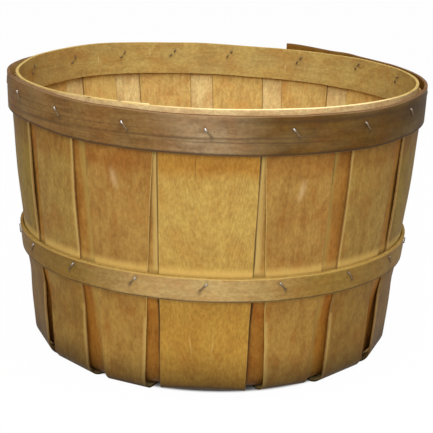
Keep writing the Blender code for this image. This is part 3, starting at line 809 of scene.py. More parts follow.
def make_hoop(form, kind, low, high, thickness, way, staples, finishes):
    """A bent hoop from low to high with its end lapped, pressed in by its staples.

    It lies outside the staves when way is 1 and inside them when it is -1.
    """
    lap, knots, seed, columns = HOOPS[kind]
    seat = form.outer_seat if way > 0 else form.inner_seat
    ramp_start = lap[0] + 360 - form.sizes.lap_ramp
    points, acrosses, gaps, marks = [], [], [], []
    for angle in hoop_angles(lap, [staple[0] for staple in staples]):
        lift = (high - low) * rise_share(knots, angle)
        run = angle / HOOP_WANDER_DEGREES
        base, top = [
            edge + lift + EDGE_WANDER * waver(run, row, seed)
            for edge, row in zip((low, high), HOOP_NOISE_ROWS)]
        climb = (thickness + form.sizes.fit_gap) * smooth((angle - ramp_start) / form.sizes.lap_ramp)
        heights = spread(base, top, columns)
        line = []
        for height in heights:
            level = (height - base) / (top - base)
            out = between(form.wall_radius(base), form.wall_radius(top), level) + way * (seat + climb)
            out += HOOP_CUP * math.sin(math.pi * level) ** 2
            line.append(outward(angle) * out + Vector((0, 0, height)))
        points.append(line)
        acrosses.append([height - low for height in heights])
        gaps.append([(height - base, top - height) for height in heights])
        marks.append([staple_marks(form, angle, height, staples) for height in heights])
    face, marks = np.array(points), np.array(marks)
    stains = marks[..., 1]
    depth = thickness - WIRE_PRESS * marks[..., 0]
    fields = sides_of("from", np.array(gaps))
    fields["stain"] = (stains, 0 * stains)[::way]
    if way > 0:
        face = face + face_normals(face)[0] * depth[..., None]
    place(slab(f"{kind}_wood", face, depth, np.array(acrosses), fields, finishes), kind)


def rim_staple_places(form):
    """Angle, height and slant of each rim staple, and the darkness of its stain."""
    sizes = form.sizes
    places = []
    for index, angle in enumerate(RIM_STAPLE_ANGLES):
        whole = angle if angle > OUTER_LAP[0] else angle + 360
        rise = sizes.outer_hoop_width * rise_share(OUTER_HOOP_RISE_SHARES, whole)
        drop = sizes.rim_staple_drop + sizes.rim_staple_swing * math.cos(math.radians(angle))
        darkness = STAIN_DARKNESS + STAIN_SPREAD * waver(index * 1.7, 0.5, 4.0)
        places.append((angle, sizes.rim_height + rise - drop, sizes.rim_staple_tilt, darkness))
    return places


def middle_staple_places(form):
    """The same of each middle staple."""
    sizes = form.sizes
    height = sizes.middle_hoop_base + sizes.middle_hoop_width / 2 + sizes.middle_staple_lift
    return [
        (angle, height, sizes.middle_staple_tilt * (1 if angle < 0 else -1),
         STAIN_DARKNESS + STAIN_SPREAD * waver(index * 1.9, 0.5, 9.0))
        for index, angle in enumerate(MIDDLE_STAPLE_ANGLES)
    ]


def bend_points(corner, start, stop, radius):
    """Round bend of a wire about its sharp corner, between two directions along it."""
    start, stop = Vector(start) * radius, Vector(stop) * radius
    centre = Vector(corner) + stop - start
    bearings = [math.pi / 2 * step / BEND_STEPS for step in range(BEND_STEPS + 1)]
    return [centre - stop * math.cos(bearing) + start * math.sin(bearing) for bearing in bearings]


def wire_path(crown, clinch, crown_length, clinch_length, thickness):
    """Centre line of a clinched staple in its own XZ plane, from tip to tip."""
    half = (crown_length - thickness) / 2
    top, low = crown + thickness / 2, clinch - thickness / 2
    tip = crown_length / 2 - clinch_length
    radius = thickness * BEND_RADIUS
    side = [Vector((tip, low)), Vector((tip + thickness / 2, low))]
    side += bend_points((half, low), (1, 0), (0, 1), radius)
    side += bend_points((half, top), (0, 1), (-1, 0), radius)
    side.append(Vector((half * CROWN_KNOT, top)))
    return side + [Vector((-point.x, point.y)) for point in reversed(side)]


def make_wire(name, spot, path, width, thickness, glint_strength, finish):
    """A staple of drawn wire along a path in its frame's XZ plane, with cut tips.

    Its painted glint is as strong as the given glint strength at the upper end of the crown, and it is dull
    elsewhere.
    """
    points, shine, count = [], [], len(path)
    crown = max(point.y for point in path)
    centre, longest = spot.translation.z, max(point.x for point in path)
    for index, point in enumerate(path):
        way = (path[min(index + 1, count - 1)] - path[max(index - 1, 0)]).normalized()
        side = Vector((way.y, -way.x))
        upper = ((spot @ Vector((point.x, 0, point.y))).z - centre) / longest
        bright = glint_strength * smooth((upper - GLINT_FROM) / GLINT_SPAN)
        shine += [bright * (point.y > crown - thickness)] * WIRE_SIDES
        slim = TIP_TAPER if index in (0, count - 1) else 1.0
        for step in range(WIRE_SIDES):
            bearing = math.tau * (step + 0.5) / WIRE_SIDES
            reach = side * math.cos(bearing) * thickness / 2 * slim
            aside = math.sin(bearing) * width / 2 * slim
            points.append(spot @ Vector((point.x + reach.x, aside, point.y + reach.y)))
    polygons = []
    for here in range(0, (count - 1) * WIRE_SIDES, WIRE_SIDES):
        there = here + WIRE_SIDES
        for step in range(WIRE_SIDES):
            after = (step + 1) % WIRE_SIDES
            polygons.append((here + step, here + after, there + after, there + step))
    polygons.append(tuple(range(WIRE_SIDES))[::-1])
    polygons.append(tuple(range((count - 1) * WIRE_SIDES, count * WIRE_SIDES)))
    item = new_object(f"{name}_wire", points, polygons, [finish])
    item.data.attributes.new("shine", "FLOAT", "POINT").data.foreach_set("value", shine)
    place(item, name)


def make_hoop_staples(form, kind, places, crown, clinch, doubled_out, doubled_in, glint_strength, finish):
    """Staples through a hoop, the staves and what lies inside them, with painted glints brightest at the
    left front.

    doubled_out and doubled_in are a hoop's lap and the thickness that it adds there.
    """
    sizes = form.sizes
    for index, (angle, height, tilt, _) in enumerate(places):
        extra = [
            thick if any(lap[0] <= whole <= lap[1] for whole in (angle, angle - 360)) else 0.0
            for lap, thick in (doubled_out, doubled_in)
        ]
        path = wire_path(
            crown + extra[0], clinch - extra[1], sizes.crown_length, sizes.clinch_length,
            sizes.wire_thickness)
        shine = glint_strength
        for off, (start, span, left) in ((angle, RIGHT_DIMMING), (abs(angle), SIDE_DIMMING)):
            shine *= between(1.0, left, smooth((off - start) / span))
        make_wire(
            f"{kind}_{index + 1:02d}", form.wall_frame(angle, height, tilt), path, sizes.wire_width,
            sizes.wire_thickness, shine, finish)


# Nodes

class Field:
    """Output of a node. Sums, differences, products and quotients of fields are new nodes."""

    def __init__(self, socket):
        self.socket = socket
        self.tree = socket.id_data

    def __add__(self, other):
        return maths("ADD", self, other)

    def __sub__(self, other):
        return maths("SUBTRACT", self, other)

    def __rsub__(self, other):
        return maths("SUBTRACT", other, self)

    def __mul__(self, other):
        return maths("MULTIPLY", self, other)

    def __truediv__(self, other):
        return maths("DIVIDE", self, other)


def put(target, value):
    """Feed an input from a field, or set its value."""
    if isinstance(value, Field):
        value.tree.links.new(value.socket, target)
    elif hasattr(value, "__len__"):
        target.default_value = tuple(value)[:len(target.default_value)]
    else:
        target.default_value = value


def node(tree, kind, inputs=(), **settings):
    """Outputs of a new node as fields, found by place or by name. Its inputs take values the same way."""
    made = tree.nodes.new(kind)
    for label, value in settings.items():
        setattr(made, label, value)
    for label, value in dict(inputs).items():
        put(made.inputs[label], value)
    return {key: Field(socket) for index, socket in enumerate(made.outputs) for key in (index, socket.name)}


def maths(operation, *values):
    """Result of a maths node. At least one of the values is a field."""
    tree = next(value.tree for value in values if isinstance(value, Field))
    return node(tree, "ShaderNodeMath", enumerate(values), operation=operation)[0]


def ramp(value, low, high, start=0.0, stop=1.0):
    """Smooth step of a field from low to high."""
    inputs = {"Value": value, "From Min": low, "From Max": high, "To Min": start, "To Max": stop}
    return node(value.tree, "ShaderNodeMapRange", inputs, interpolation_type="SMOOTHSTEP", clamp=True)[0]


def mix(tree, part, first, second, kind="MIX"):
    """Blend of two colours."""
    pair = [value if isinstance(value, Field) else (*tuple(value)[:3], 1.0) for value in (first, second)]
    inputs = {0: part, 6: pair[0], 7: pair[1]}
    return node(tree, "ShaderNodeMix", inputs, data_type="RGBA", blend_type=kind, clamp_factor=True)[2]


def cells(strip, seed, across, along, detail=2.0, roughness=0.5, distortion=0.0):
    """Noise with cells of a width and a length along a strip, shifted by a seed."""
    scale = {0: strip, 1: (1 / across, 1 / along, 1.0)}
    sized = node(strip.tree, "ShaderNodeVectorMath", scale, operation="MULTIPLY")[0]
    shift = node(strip.tree, "ShaderNodeCombineXYZ", {"X": seed, "Y": seed, "Z": seed})[0]
    shifted = node(strip.tree, "ShaderNodeVectorMath", {0: sized, 1: shift}, operation="ADD")[0]
    return node(strip.tree, "ShaderNodeTexNoise", {
        "Vector": shifted, "Scale": 1.0, "Detail": detail, "Roughness": roughness,
        "Distortion": distortion})["Fac"]


def new_group(name, inputs, outputs):
    """A shader node group: its tree, its input fields and its outputs.

    inputs holds the default of each number that goes in, and None for a vector.
    """
    tree = bpy.data.node_groups.new(name, "ShaderNodeTree")
    for label, value in inputs.items():
        kind = "NodeSocketVector" if value is None else "NodeSocketFloat"
        socket = tree.interface.new_socket(label, in_out="INPUT", socket_type=kind)
        if value is not None:
            socket.default_value = value
    for label in outputs:
        tree.interface.new_socket(label, in_out="OUTPUT", socket_type="NodeSocketFloat")
    return tree, node(tree, "NodeGroupInput"), tree.nodes.new("NodeGroupOutput").inputs


def fill_noises(noises, given, result):
    """Feed a group's outputs from a table of noises."""
    for label, (shift, *texture, low, high) in noises.items():
        seed = given["Seed"] + shift if shift else given["Seed"]
        put(result[label], ramp(cells(given["Strip"], seed, *texture), low, high))


def wood_figure_group():
    """Rings, streaks, fibres, mottle and pores of sawn and sliced wood.

    With Arches at 1 the rings are nested arches about the place Arch Across, else they run along the strip.
    """
    inputs = {
        "Strip": None, "Seed": 0.0, "Ring Width": 0.006, "Wander": 0.030, "Arches": 0.0, "Arch Across": 0.0}
    tree, given, result = new_group("wood_figure", inputs, ("Rings", "Fibres", *FIGURE_NOISES))
    strip, seed = given["Strip"], given["Seed"]
    spot = node(tree, "ShaderNodeSeparateXYZ", {0: strip})
    wander = (cells(strip, seed, *WANDER_CELLS) - 0.5) * given["Wander"]
    aside = spot["X"] - given["Arch Across"]
    arch = aside * aside / ARCH_DEPTH + spot["Y"]
    line = node(tree, "ShaderNodeMix", {0: given["Arches"], 2: spot["X"], 3: arch})[0]
    line = line + wander + cells(strip, seed, *FINE_CELLS) * FINE_WANDER
    saw = maths("FRACT", line / given["Ring Width"])
    put(result["Rings"], ramp(saw, *RING_RISE) * ramp(saw, *RING_FALL))
    put(result["Fibres"], cells(strip, seed, *FIBRE_CELLS))
    fill_noises(FIGURE_NOISES, given, result)
    return tree


def edge_paint_group():
    """Ragged mask that fades away from a cut edge: for wear, painted highlights and painted shade along
    edges.
    """
    tree, given, result = new_group(
        "edge_paint", {"Gap": 0.01, "Strip": None, "Seed": 0.0, "Width": 0.002}, ["Wear"])
    reach = given["Width"] * (cells(given["Strip"], given["Seed"], *EDGE_PAINT_CELLS) + LEAST_EDGE_PAINT)
    put(result["Wear"], ramp(given["Gap"] / reach, *EDGE_PAINT_SPAN))
    return tree


def height_band_group():
    """Mask of a band that ends raggedly between two heights."""
    inputs = {"Height": 0.0, "Strip": None, "Seed": 0.0, "Clear": 0.0, "Full": 1.0, "Raggedness": 0.006}
    tree, given, result = new_group("height_band", inputs, ["Band"])
    rough = cells(given["Strip"], given["Seed"], *BAND_CELLS) - 0.5
    level = given["Height"] + rough * given["Raggedness"]
    put(result["Band"], ramp(level, given["Clear"], given["Full"]))
    return tree


def weather_group():
    """Cloudy bloom and small dark specks of old wood."""
    tree, given, result = new_group("weather", {"Strip": None, "Seed": 0.0}, WEATHER_NOISES)
    fill_noises(WEATHER_NOISES, given, result)
    return tree


def single_mark_group():
    """Mask of one narrow mark, such as a hairline split, a grain line or a soft painted highlight."""
    inputs = {"Strip": None, "Across": 0.0, "Along": 0.0, "Width": 0.0004, "Length": 0.02, "Slant": 0.0}
    tree, given, result = new_group("single_mark", inputs, ["Mark"])
    spot = node(tree, "ShaderNodeSeparateXYZ", {0: given["Strip"]})
    run = spot["Y"] - given["Along"]
    wander = (cells(given["Strip"], given["Along"], *MARK_CELLS) - 0.5) * MARK_WANDER
    aside = spot["X"] - given["Across"] - run * given["Slant"] + wander
    wide = maths("ABSOLUTE", aside) / given["Width"]
    far = maths("ABSOLUTE", run) / given["Length"]
    put(result["Mark"], ramp(wide, *MARK_SIDE_SPAN) * ramp(far, *MARK_END_SPAN))
    return tree


GROUPS = {}


def group_node(tree, maker, inputs):
    """Outputs of one of the shared groups, made the first time it is asked for."""
    if maker not in GROUPS:
        GROUPS[maker] = maker()
    return node(tree, "ShaderNodeGroup", inputs, node_tree=GROUPS[maker])


def attribute(tree, name):
    return node(tree, "ShaderNodeAttribute", attribute_name=name)["Fac"]


def scaled(tone, factors):
    """A colour with each channel scaled."""
    return tuple(min(part * factor, 1.0) for part, factor in zip(tone, factors))


def new_material(name):
    """A material with a Principled shader: itself, its tree and the shader."""
    material = bpy.data.materials.new(name)
    material.use_nodes = True
    return material, material.node_tree, material.node_tree.nodes["Principled BSDF"]


def put_bump(tree, shader, strength, distance, height):
    """Feed a shader's normal from a height field."""
    inputs = {"Strength": strength, "Distance": distance, "Height": height}
    put(shader.inputs["Normal"], node(tree, "ShaderNodeBump", inputs)[0])


def level_mask(height, low, high):
    """1 between two heights, with soft ends."""
    soft = min((high - low) / 3, MASK_SOFTNESS)
    return ramp(height, low - soft, low) * ramp(height, high + soft, high)


def wood_finish(name, tone, seed, colours, low_tone=None, tones=(), ring_width=0.006, wander=0.030,
                arches=None, rings=0.35, streaks=0.35, grain=0.30, mottle=0.70, blotches=0.65, flecks=0.65,
                dark=(0.72, 0.60, 0.46), bloom=0.0, rim_shadow_tint=None, hoop_bounce_light=0.0, soil=0.0, foot=0.0, edges=(),
                marks=(), roughness=0.55, relief=0.00012):
    """Wood with grain along its strip.

    low_tone is its colour under the middle hoop, partly painted shade, tones are pairs of place along and
    colour, arches is the place across about which its rings arch, rim_shadow_tint is the tint of painted
    shadow just under the rim hoop and hoop_bounce_light is the strength of the pale line of painted light
    over the middle hoop. edges are (field, width, colour, strength, low, high) for wear, painted highlights
    and painted shade, with the heights between which they show, and marks are (across, along, width, length,
    slant, colour, strength). foot is the height of the fold over the floor, where the painted shade at the
    foot is darkest.
    """
    material, tree, shader = new_material(name)
    strip = node(tree, "ShaderNodeUVMap", uv_map="strip")[0]
    spot = node(tree, "ShaderNodeTexCoord")["Object"]
    height = node(tree, "ShaderNodeSeparateXYZ", {0: spot})["Z"]
    site = {"Strip": strip, "Seed": seed}
    figure = group_node(tree, wood_figure_group, {
        **site, "Ring Width": ring_width, "Wander": wander, "Arches": float(arches is not None),
        "Arch Across": arches or 0.0})
    shown = tone
    if low_tone:
        shown = mix(tree, ramp(height, *LOW_TONE_SPAN), low_tone, tone)
    if tones:
        along = node(tree, "ShaderNodeSeparateXYZ", {0: strip})["Y"]
        shown = tones[0][1]
        for (start, _), (stop, last) in zip(tones, tones[1:]):
            shown = mix(tree, ramp(along, start, stop), shown, last)

    def tinted(tint):
        """What shows, multiplied by a tint."""
        return mix(tree, 1.0, shown, tint, "MULTIPLY")

    def lay(mask, paint, strength=None):
        """Lay a paint over what shows, where a mask is."""
        nonlocal shown
        shown = mix(tree, mask if strength is None else mask * strength, shown, paint)

    def band_mask(clear, full, shift=0):
        """Mask of a ragged band between two heights."""
        return group_node(tree, height_band_group, {
            "Height": height, "Strip": strip, "Seed": seed + shift, "Clear": clear, "Full": full})["Band"]

    deep, pale, ruddy = tinted(dark), tinted(PALE_TINT), tinted(RUDDY_TINT)
    lay(figure["Rings"], deep, rings)
    lay(figure["Streaks"], deep, streaks)
    lay(figure["Grain"], deep, grain)
    lay(figure["Blotches"], ruddy, blotches)
    lay(figure["Mottle"], pale, mottle)
    shown = mix(tree, figure["Flecks"] * flecks, tinted(CLEAR_TINT), tinted(FADED_TINT))
    lay(ramp(figure["Fibres"], *FIBRE_SPAN), deep, FIBRE_STRENGTH)
    lay(figure["Pores"], scaled(tone, PORE_TINT), PORE_STRENGTH)
    if bloom:
        weather = group_node(tree, weather_group, site)
        lay(weather["Bloom"], colours.weathered, bloom)
        lay(weather["Specks"], colours.soil, SPECK_STRENGTH)
    # Painted shadow of the rim hoop on the wood just under it
    if rim_shadow_tint:
        lay(band_mask(*RIM_SHADOW_SPAN), tinted(rim_shadow_tint))
    # Paint along edges: wear, painted highlights and painted shade
    for field, wide, paint, strength, low, high in edges:
        edge_inputs = {"Gap": attribute(tree, field), **site, "Width": wide}
        lay(group_node(tree, edge_paint_group, edge_inputs)["Wear"] * level_mask(height, low, high), paint, strength)
    # Painted light thrown up by the middle hoop onto the wood just over it
    if hoop_bounce_light:
        lay(ramp(height, *BOUNCE_LIGHT_FOOT_SPAN) * ramp(height, *BOUNCE_LIGHT_TOP_SPAN), colours.painted_light_and_pale_grain, hoop_bounce_light)
    for across, place_along, wide, long, slant, paint, strength in marks:
        lay(group_node(tree, single_mark_group, {
            "Strip": strip, "Across": across, "Along": place_along, "Width": wide, "Length": long,
            "Slant": slant})["Mark"], paint, strength)
    # Painted shade at the foot and a painted dark contact line along the fold
    if soil:
        level = {0: spot, 1: (1.0, 1.0, 0.0)}
        flat = node(tree, "ShaderNodeVectorMath", level, operation="MULTIPLY")[0]
        reach = node(tree, "ShaderNodeVectorMath", {0: flat}, operation="LENGTH")["Value"]
        foot_line = ramp(height, *[foot + part for part in FOOT_LINE_SPAN])
        mask = maths("MAXIMUM", band_mask(FOOT_SHADE_SPAN[0] + 3 * foot, FOOT_SHADE_SPAN[1], 5), foot_line)
        lay(mask * ramp(reach, *FOOT_SHADE_REACH), colours.soil, soil)
    lay(attribute(tree, "stain"), colours.iron_stain)
    put(shader.inputs["Base Color"], shown)
    put(shader.inputs["Specular IOR Level"], SHEEN)
    put(shader.inputs["Roughness"], figure["Fibres"] * FIBRE_ROUGHNESS + (roughness - FIBRE_ROUGHNESS / 2))
    rise = figure["Fibres"] + figure["Rings"] * RING_RELIEF - figure["Pores"] * PORE_RELIEF
    put_bump(tree, shader, BUMP_STRENGTH, relief, rise)
    return material


def cut_finish(name, tone, seed, colours, **look):
    """Cut wood: fibrous and a little dirty."""
    settings = {
        "ring_width": 0.0012, "wander": 0.004, "rings": 0.30, "streaks": 0.30, "mottle": 0.45,
        "blotches": 0.25, "bloom": 0.10, "roughness": 0.75, "relief": 0.00020, **look,
    }
    return wood_finish(name, tone, seed, colours, **settings)


def wire_finish(name, tone, hues, rust_share):
    """Drawn wire, dull but for a painted glint at the upper end of its crown, with fine scratches and spots
    of rust.
    """
    material, tree, shader = new_material(name)
    spot = node(tree, "ShaderNodeTexCoord")["Object"]
    shine = attribute(tree, "shine")
    spots, fine = [
        node(tree, "ShaderNodeTexNoise", {"Vector": spot, "Scale": scale})["Fac"]
        for scale in WIRE_NOISE_SCALES
    ]
    mask = ramp(spots, *[value - RUST_GAIN * rust_share for value in RUST_SPAN]) * (1.0 - shine)
    put(shader.inputs["Base Color"], mix(tree, mask, mix(tree, shine, tone, hues.bright_wire), hues.rust))
    clean = shine - mask
    put(shader.inputs["Metallic"], ramp(clean, 0.0, 1.0, *WIRE_METALLIC))
    put(shader.inputs["Roughness"], ramp(clean, 0.0, 1.0, *WIRE_ROUGHNESS))
    put_bump(tree, shader, *WIRE_BUMP, fine)
    return material


def stave_cut(hues, beside_widest=False):
    """Finish of the staves' cut edges, made when it is first asked for: paler beside the widest stave, where
    light is painted, and with painted shade at the foot.
    """
    name, tone = ("lit_stave_cut", hues.edge_veneer) if beside_widest else ("stave_cut", hues.cut_veneer)
    return bpy.data.materials.get(name) or cut_finish(name, tone, 2.0, hues, soil=0.9)


# Operators

def basket(context):
    """The basket's shape, its sizes and its colours."""
    scene = context.scene
    return Form(scene.basket_sizes), scene.basket_sizes, scene.basket_colours


def both_edges(kind, *wear):
    """The same wear at a stave's left and right edge, as wood_finish takes it."""
    return (f"{kind}_left", *wear), (f"{kind}_right", *wear)


def tones_round(form, height, places):
    """Tones of a hoop from pairs of degrees along it and colour."""
    degree = form.degree_at(height)
    return [(angle * degree, tuple(tone)) for angle, tone in places]


class MakeOuterStaves(bpy.types.Operator):
    """Make the eight outer staves"""

    bl_idname = "basket.outer_staves"
    bl_label = "Outer Staves"

    def execute(self, context):
        form, sizes, hues = basket(context)
        painted_light_and_pale_grain, shade_and_dirt, pale = hues.edge_veneer, hues.soil, hues.lining_hoop_pale
        # Pale edges are painted highlights where the edges catch the light, partly wear
        low_left, low_right = both_edges("from", 0.0035, painted_light_and_pale_grain, 0.45, *UNDER_HOOP)
        # Thin dark lines beside the edges are painted shade
        left_shade_line, right_shade_line = both_edges("from", 0.0007, shade_and_dirt, 0.55, *EVERYWHERE)
        high_left = ("from_left", 0.0030, painted_light_and_pale_grain, 0.50, *OVER_HOOP)
        high_right = ("from_right", 0.0035, painted_light_and_pale_grain, 0.60, *OVER_HOOP)
        side = dict(tone=hues.olive_veneer, low_tone=hues.olive_low)
        far = dict(tone=hues.far_veneer, low_tone=hues.far_low)
        near = dict(tone=hues.tan_veneer, low_tone=hues.tan_low)
        looks = (
            dict(far, edges=(high_right, low_right)),
            dict(side, edges=(high_right, low_right, left_shade_line)),
            dict(near, edges=(low_right, left_shade_line), marks=[
                # A soft pale streak on this stave is a painted highlight
                (-0.0009, 0.0385, 0.0034, 0.0090, 0.20, pale, 0.30)]),
            # The widest stave: its tint under the rim hoop is a darker painted shadow of that hoop
            dict(tone=hues.golden_veneer, low_tone=hues.golden_low, rim_shadow_tint=(0.84, 0.66, 0.46), rings=0.42,
                 ring_width=0.008, wander=0.014, arches=0.0005, blotches=0.30, mottle=0.45, streaks=0.25,
                 grain=0.22, marks=(
                     (-0.0083, 0.0280, 0.0004, 0.0110, 0.0, shade_and_dirt, 0.60),
                     (-0.0083, 0.0560, 0.0003, 0.0300, 0.03, shade_and_dirt, 0.18),
                     (-0.0085, 0.1420, 0.0005, 0.0110, 0.10, painted_light_and_pale_grain, 0.55),
                     (0.0048, 0.1420, 0.0005, 0.0110, -0.06, painted_light_and_pale_grain, 0.50))),
            dict(near, edges=(low_left, right_shade_line), marks=[
                # A soft pale streak on this stave is a painted highlight
                (-0.0037, 0.0425, 0.0034, 0.0090, -0.20, pale, 0.30)]),
            dict(side, edges=(high_left, low_left, right_shade_line)),
            dict(far, edges=(high_left, low_left)),
            dict(far, edges=(high_right, low_left)),
        )
        finishes = []
        for index, look in enumerate(looks):
            name = f"outer_stave_{index + 1}"
            # Painted shadow under the rim hoop, painted light over the middle hoop and painted shade at the
            # foot
            settings = {"rim_shadow_tint": (0.88, 0.76, 0.66), "hoop_bounce_light": 0.65, "soil": 0.85, **look}
            seed = 3.7 * index + 1.0
            foot = sizes.foot_lift * OUTER_FOOT_LIFT_SHARES[index]
            outside = wood_finish(f"{name}_face", seed=seed, colours=hues, foot=foot, **settings)
            # The inside faces get painted shade at the foot and in the corners
            inside = wood_finish(
                f"{name}_inside", hues.inside_pale, seed + INSIDE_SEED_SHIFT, hues, rings=0.25,
                streaks=0.25, soil=0.5)
            finishes.append((outside, inside, stave_cut(hues, index in BESIDE_WIDEST_OUTER)))
        make_staves(form, "outer_stave", finishes)
        return {"FINISHED"}


class MakeInnerStaves(bpy.types.Operator):
    """Make the eight inner staves"""

    bl_idname = "basket.inner_staves"
    bl_label = "Inner Staves"

    def execute(self, context):
        form, _, hues = basket(context)
        fresh, green, dark = hues.fresh_veneer, hues.green_veneer, hues.soil
        # Painted shade on the inner staves: dark lines beside the outer staves' edges, dark wedges under the
        # rim hoop and darker strips in the gaps low down
        faint_shade_left, faint_shade_right = both_edges("cover", 0.0012, dark, 0.40, *EVERYWHERE)
        shade_left, shade_right = both_edges("cover", 0.0016, dark, 0.85, *EVERYWHERE)
        deep_shade_left, deep_shade_right = both_edges("cover", 0.0030, dark, 0.80, EVERYWHERE[0], 0.075)
        shade_wedge_left, shade_wedge_right = both_edges("cover", 0.0026, dark, 0.75, *UNDER_RIM)
        fresh_left, fresh_right = both_edges("cover", 0.0066, fresh, 0.75, *OVER_HOOP)
        old_left, old_right = both_edges("cover", 0.0040, green, 0.60, *EVERYWHERE)
        strips = (
            [faint_shade_left],
            [("cover_right", 0.0085, green, 0.75, *EVERYWHERE), shade_wedge_right, shade_right],
            [fresh_right, shade_right, deep_shade_right],
            [fresh_left, shade_left, deep_shade_left],
            [("cover_left", 0.0060, green, 0.80, *OVER_HOOP),
             ("cover_left", 0.0090, green, 0.65, EVERYWHERE[0], 0.070), shade_wedge_left, shade_left],
            [faint_shade_right],
            [old_left, shade_left],
            [old_right, shade_right],
        )
        finishes = []
        for index, edges in enumerate(strips):
            name = f"inner_stave_{index + 1}"
            seed = 4.3 * index + 30.0
            warmth = 1 + 0.10 * waver(index * 2.3, 0.5, 1.0)
            high = hues.tan_veneer if index in BESIDE_WIDEST_INNER else hues.lining_veneer
            high, low, lining = [
                scaled(tone, (warmth, warmth, 1.0)) for tone in (high, hues.lining_low, hues.inside_veneer)]
            # Painted shadow under the rim hoop, painted light over the middle hoop and painted shade at the
            # foot, inside too
            outside = wood_finish(
                f"{name}_face", high, seed, hues, low_tone=low, rim_shadow_tint=(0.84, 0.74, 0.66), hoop_bounce_light=0.45, soil=0.85,
                edges=edges)
            inside = wood_finish(
                f"{name}_inside", lining, seed + INSIDE_SEED_SHIFT, hues, mottle=0.5, soil=0.5)
            finishes.append((outside, inside, stave_cut(hues)))
        make_staves(form, "inner_stave", finishes)
        return {"FINISHED"}


class MakeOuterHoop(bpy.types.Operator):
    """Make the outer rim hoop"""

    bl_idname = "basket.outer_rim_hoop"
    bl_label = "Outer Rim Hoop"

    def execute(self, context):
        form, sizes, hues = basket(context)
        back, left, near, front, right = (
            hues.hoop_back, hues.hoop_left, hues.hoop_near, hues.hoop_front, hues.hoop_right)
        tones = tones_round(form, sizes.rim_height, (
            (0, back), (110, back), (155, left), (188, near), (208, near), (225, front), (243, right),
            (262, right), (305, back), (380, back)))
        grain = hues.hoop_dark
        lines = (
            (0.0075, 222, 0.0012, 0.110, 0.004, 0.50), (0.0052, 236, 0.0007, 0.090, -0.006, 0.45),
            (0.0175, 262, 0.0030, 0.130, 0.000, 0.55), (0.0140, 290, 0.0040, 0.080, 0.010, 0.50),
            (0.0060, 172, 0.0022, 0.090, 0.010, 0.45), (0.0150, 160, 0.0009, 0.100, -0.008, 0.40),
            (0.0110, 185, 0.0007, 0.110, 0.006, 0.35))
        degree = form.degree_at(sizes.rim_height)
        marks = [
            (across, angle * degree, wide, long, slant, grain, strength)
            for across, angle, wide, long, slant, strength in lines]
        outside = wood_finish(
            "outer_hoop_face", front, 7.0, hues, tones=tones, ring_width=0.0052, wander=0.016, rings=0.40,
            streaks=0.45, grain=0.60, mottle=0.45, dark=(0.50, 0.43, 0.36), bloom=0.22, marks=marks, edges=(
                # Painted shade along the hoop's lower edge, and a painted highlight along its top edge
                ("from_left", 0.0026, grain, 0.85, *EVERYWHERE),
                ("from_right", 0.0012, hues.hoop_top_light, 0.70, *EVERYWHERE)))
        # The pale stretch of the inside face at the back is painted light on a face that lies in shade
        pale = hues.middle_hoop
        tones = tones_round(form, sizes.rim_height, (
            (0, left), (88, left), (108, pale), (150, pale), (166, left)))
        inside = wood_finish("outer_hoop_inside", left, 8.0, hues, tones=tones)
        cut = cut_finish("outer_hoop_cut", hues.hoop_cut, 9.0, hues)
        make_hoop(
            form, "outer_rim_hoop", sizes.rim_height - sizes.outer_hoop_width,
            sizes.rim_height, sizes.outer_hoop_thickness, 1, rim_staple_places(form), (outside, inside, cut))
        return {"FINISHED"}


class MakeInnerHoop(bpy.types.Operator):
    """Make the inner rim hoop"""

    bl_idname = "basket.inner_rim_hoop"
    bl_label = "Inner Rim Hoop"

    def execute(self, context):
        form, sizes, hues = basket(context)
        degree = form.degree_at(sizes.rim_height)
        face = wood_finish("inner_hoop_face", hues.lining_hoop_pale, 13.0, hues, rings=0.3, streaks=0.35)
        plain, shaded = hues.lining_hoop, scaled(hues.lining_hoop, (0.88, 0.83, 0.82))
        scratches = (
            (0.0150, 252, 0.0035, 0.0009, 0.55), (0.0165, 233, 0.0030, 0.0008, 0.45),
            (0.0100, 187, 0.0035, 0.0010, 0.45), (0.0120, 180, 0.0060, 0.0006, 0.40))
        inside = wood_finish(
            "inner_hoop_inside", plain, 14.0, hues, ring_width=0.005, wander=0.010, rings=0.30,
            streaks=0.45, mottle=0.55, bloom=0.16,
            tones=tones_round(form, sizes.rim_height, ((0, plain), (235, plain), (270, shaded))), marks=[
                (across, angle * degree, wide, long, 0.0, hues.lining_hoop_pale, strength)
                for across, angle, wide, long, strength in scratches])
        olive, cream = hues.lining_hoop_side, hues.lining_hoop_cut
        tones = tones_round(form, sizes.rim_height, (
            (0, olive), (8, olive), (40, cream), (62, cream), (100, olive), (310, olive), (345, olive),
            (377, cream)))
        knots = [(0.024, angle * degree, 0.006, 0.0022, 0.0, hues.soil, 0.75) for angle in (0.8, 361, 377)]
        cut = cut_finish(
            "inner_hoop_cut", cream, 15.0, hues, tones=tones, marks=knots, streaks=0.10, grain=0.08,
            rings=0.10, flecks=0.15, bloom=0.02)
        staples = [(*spot[:3], spot[3] * INSIDE_STAIN) for spot in rim_staple_places(form)]
        make_hoop(
            form, "inner_rim_hoop", sizes.rim_height - sizes.inner_hoop_width,
            sizes.rim_height, sizes.inner_hoop_thickness, -1, staples, (face, inside, cut))
        return {"FINISHED"}


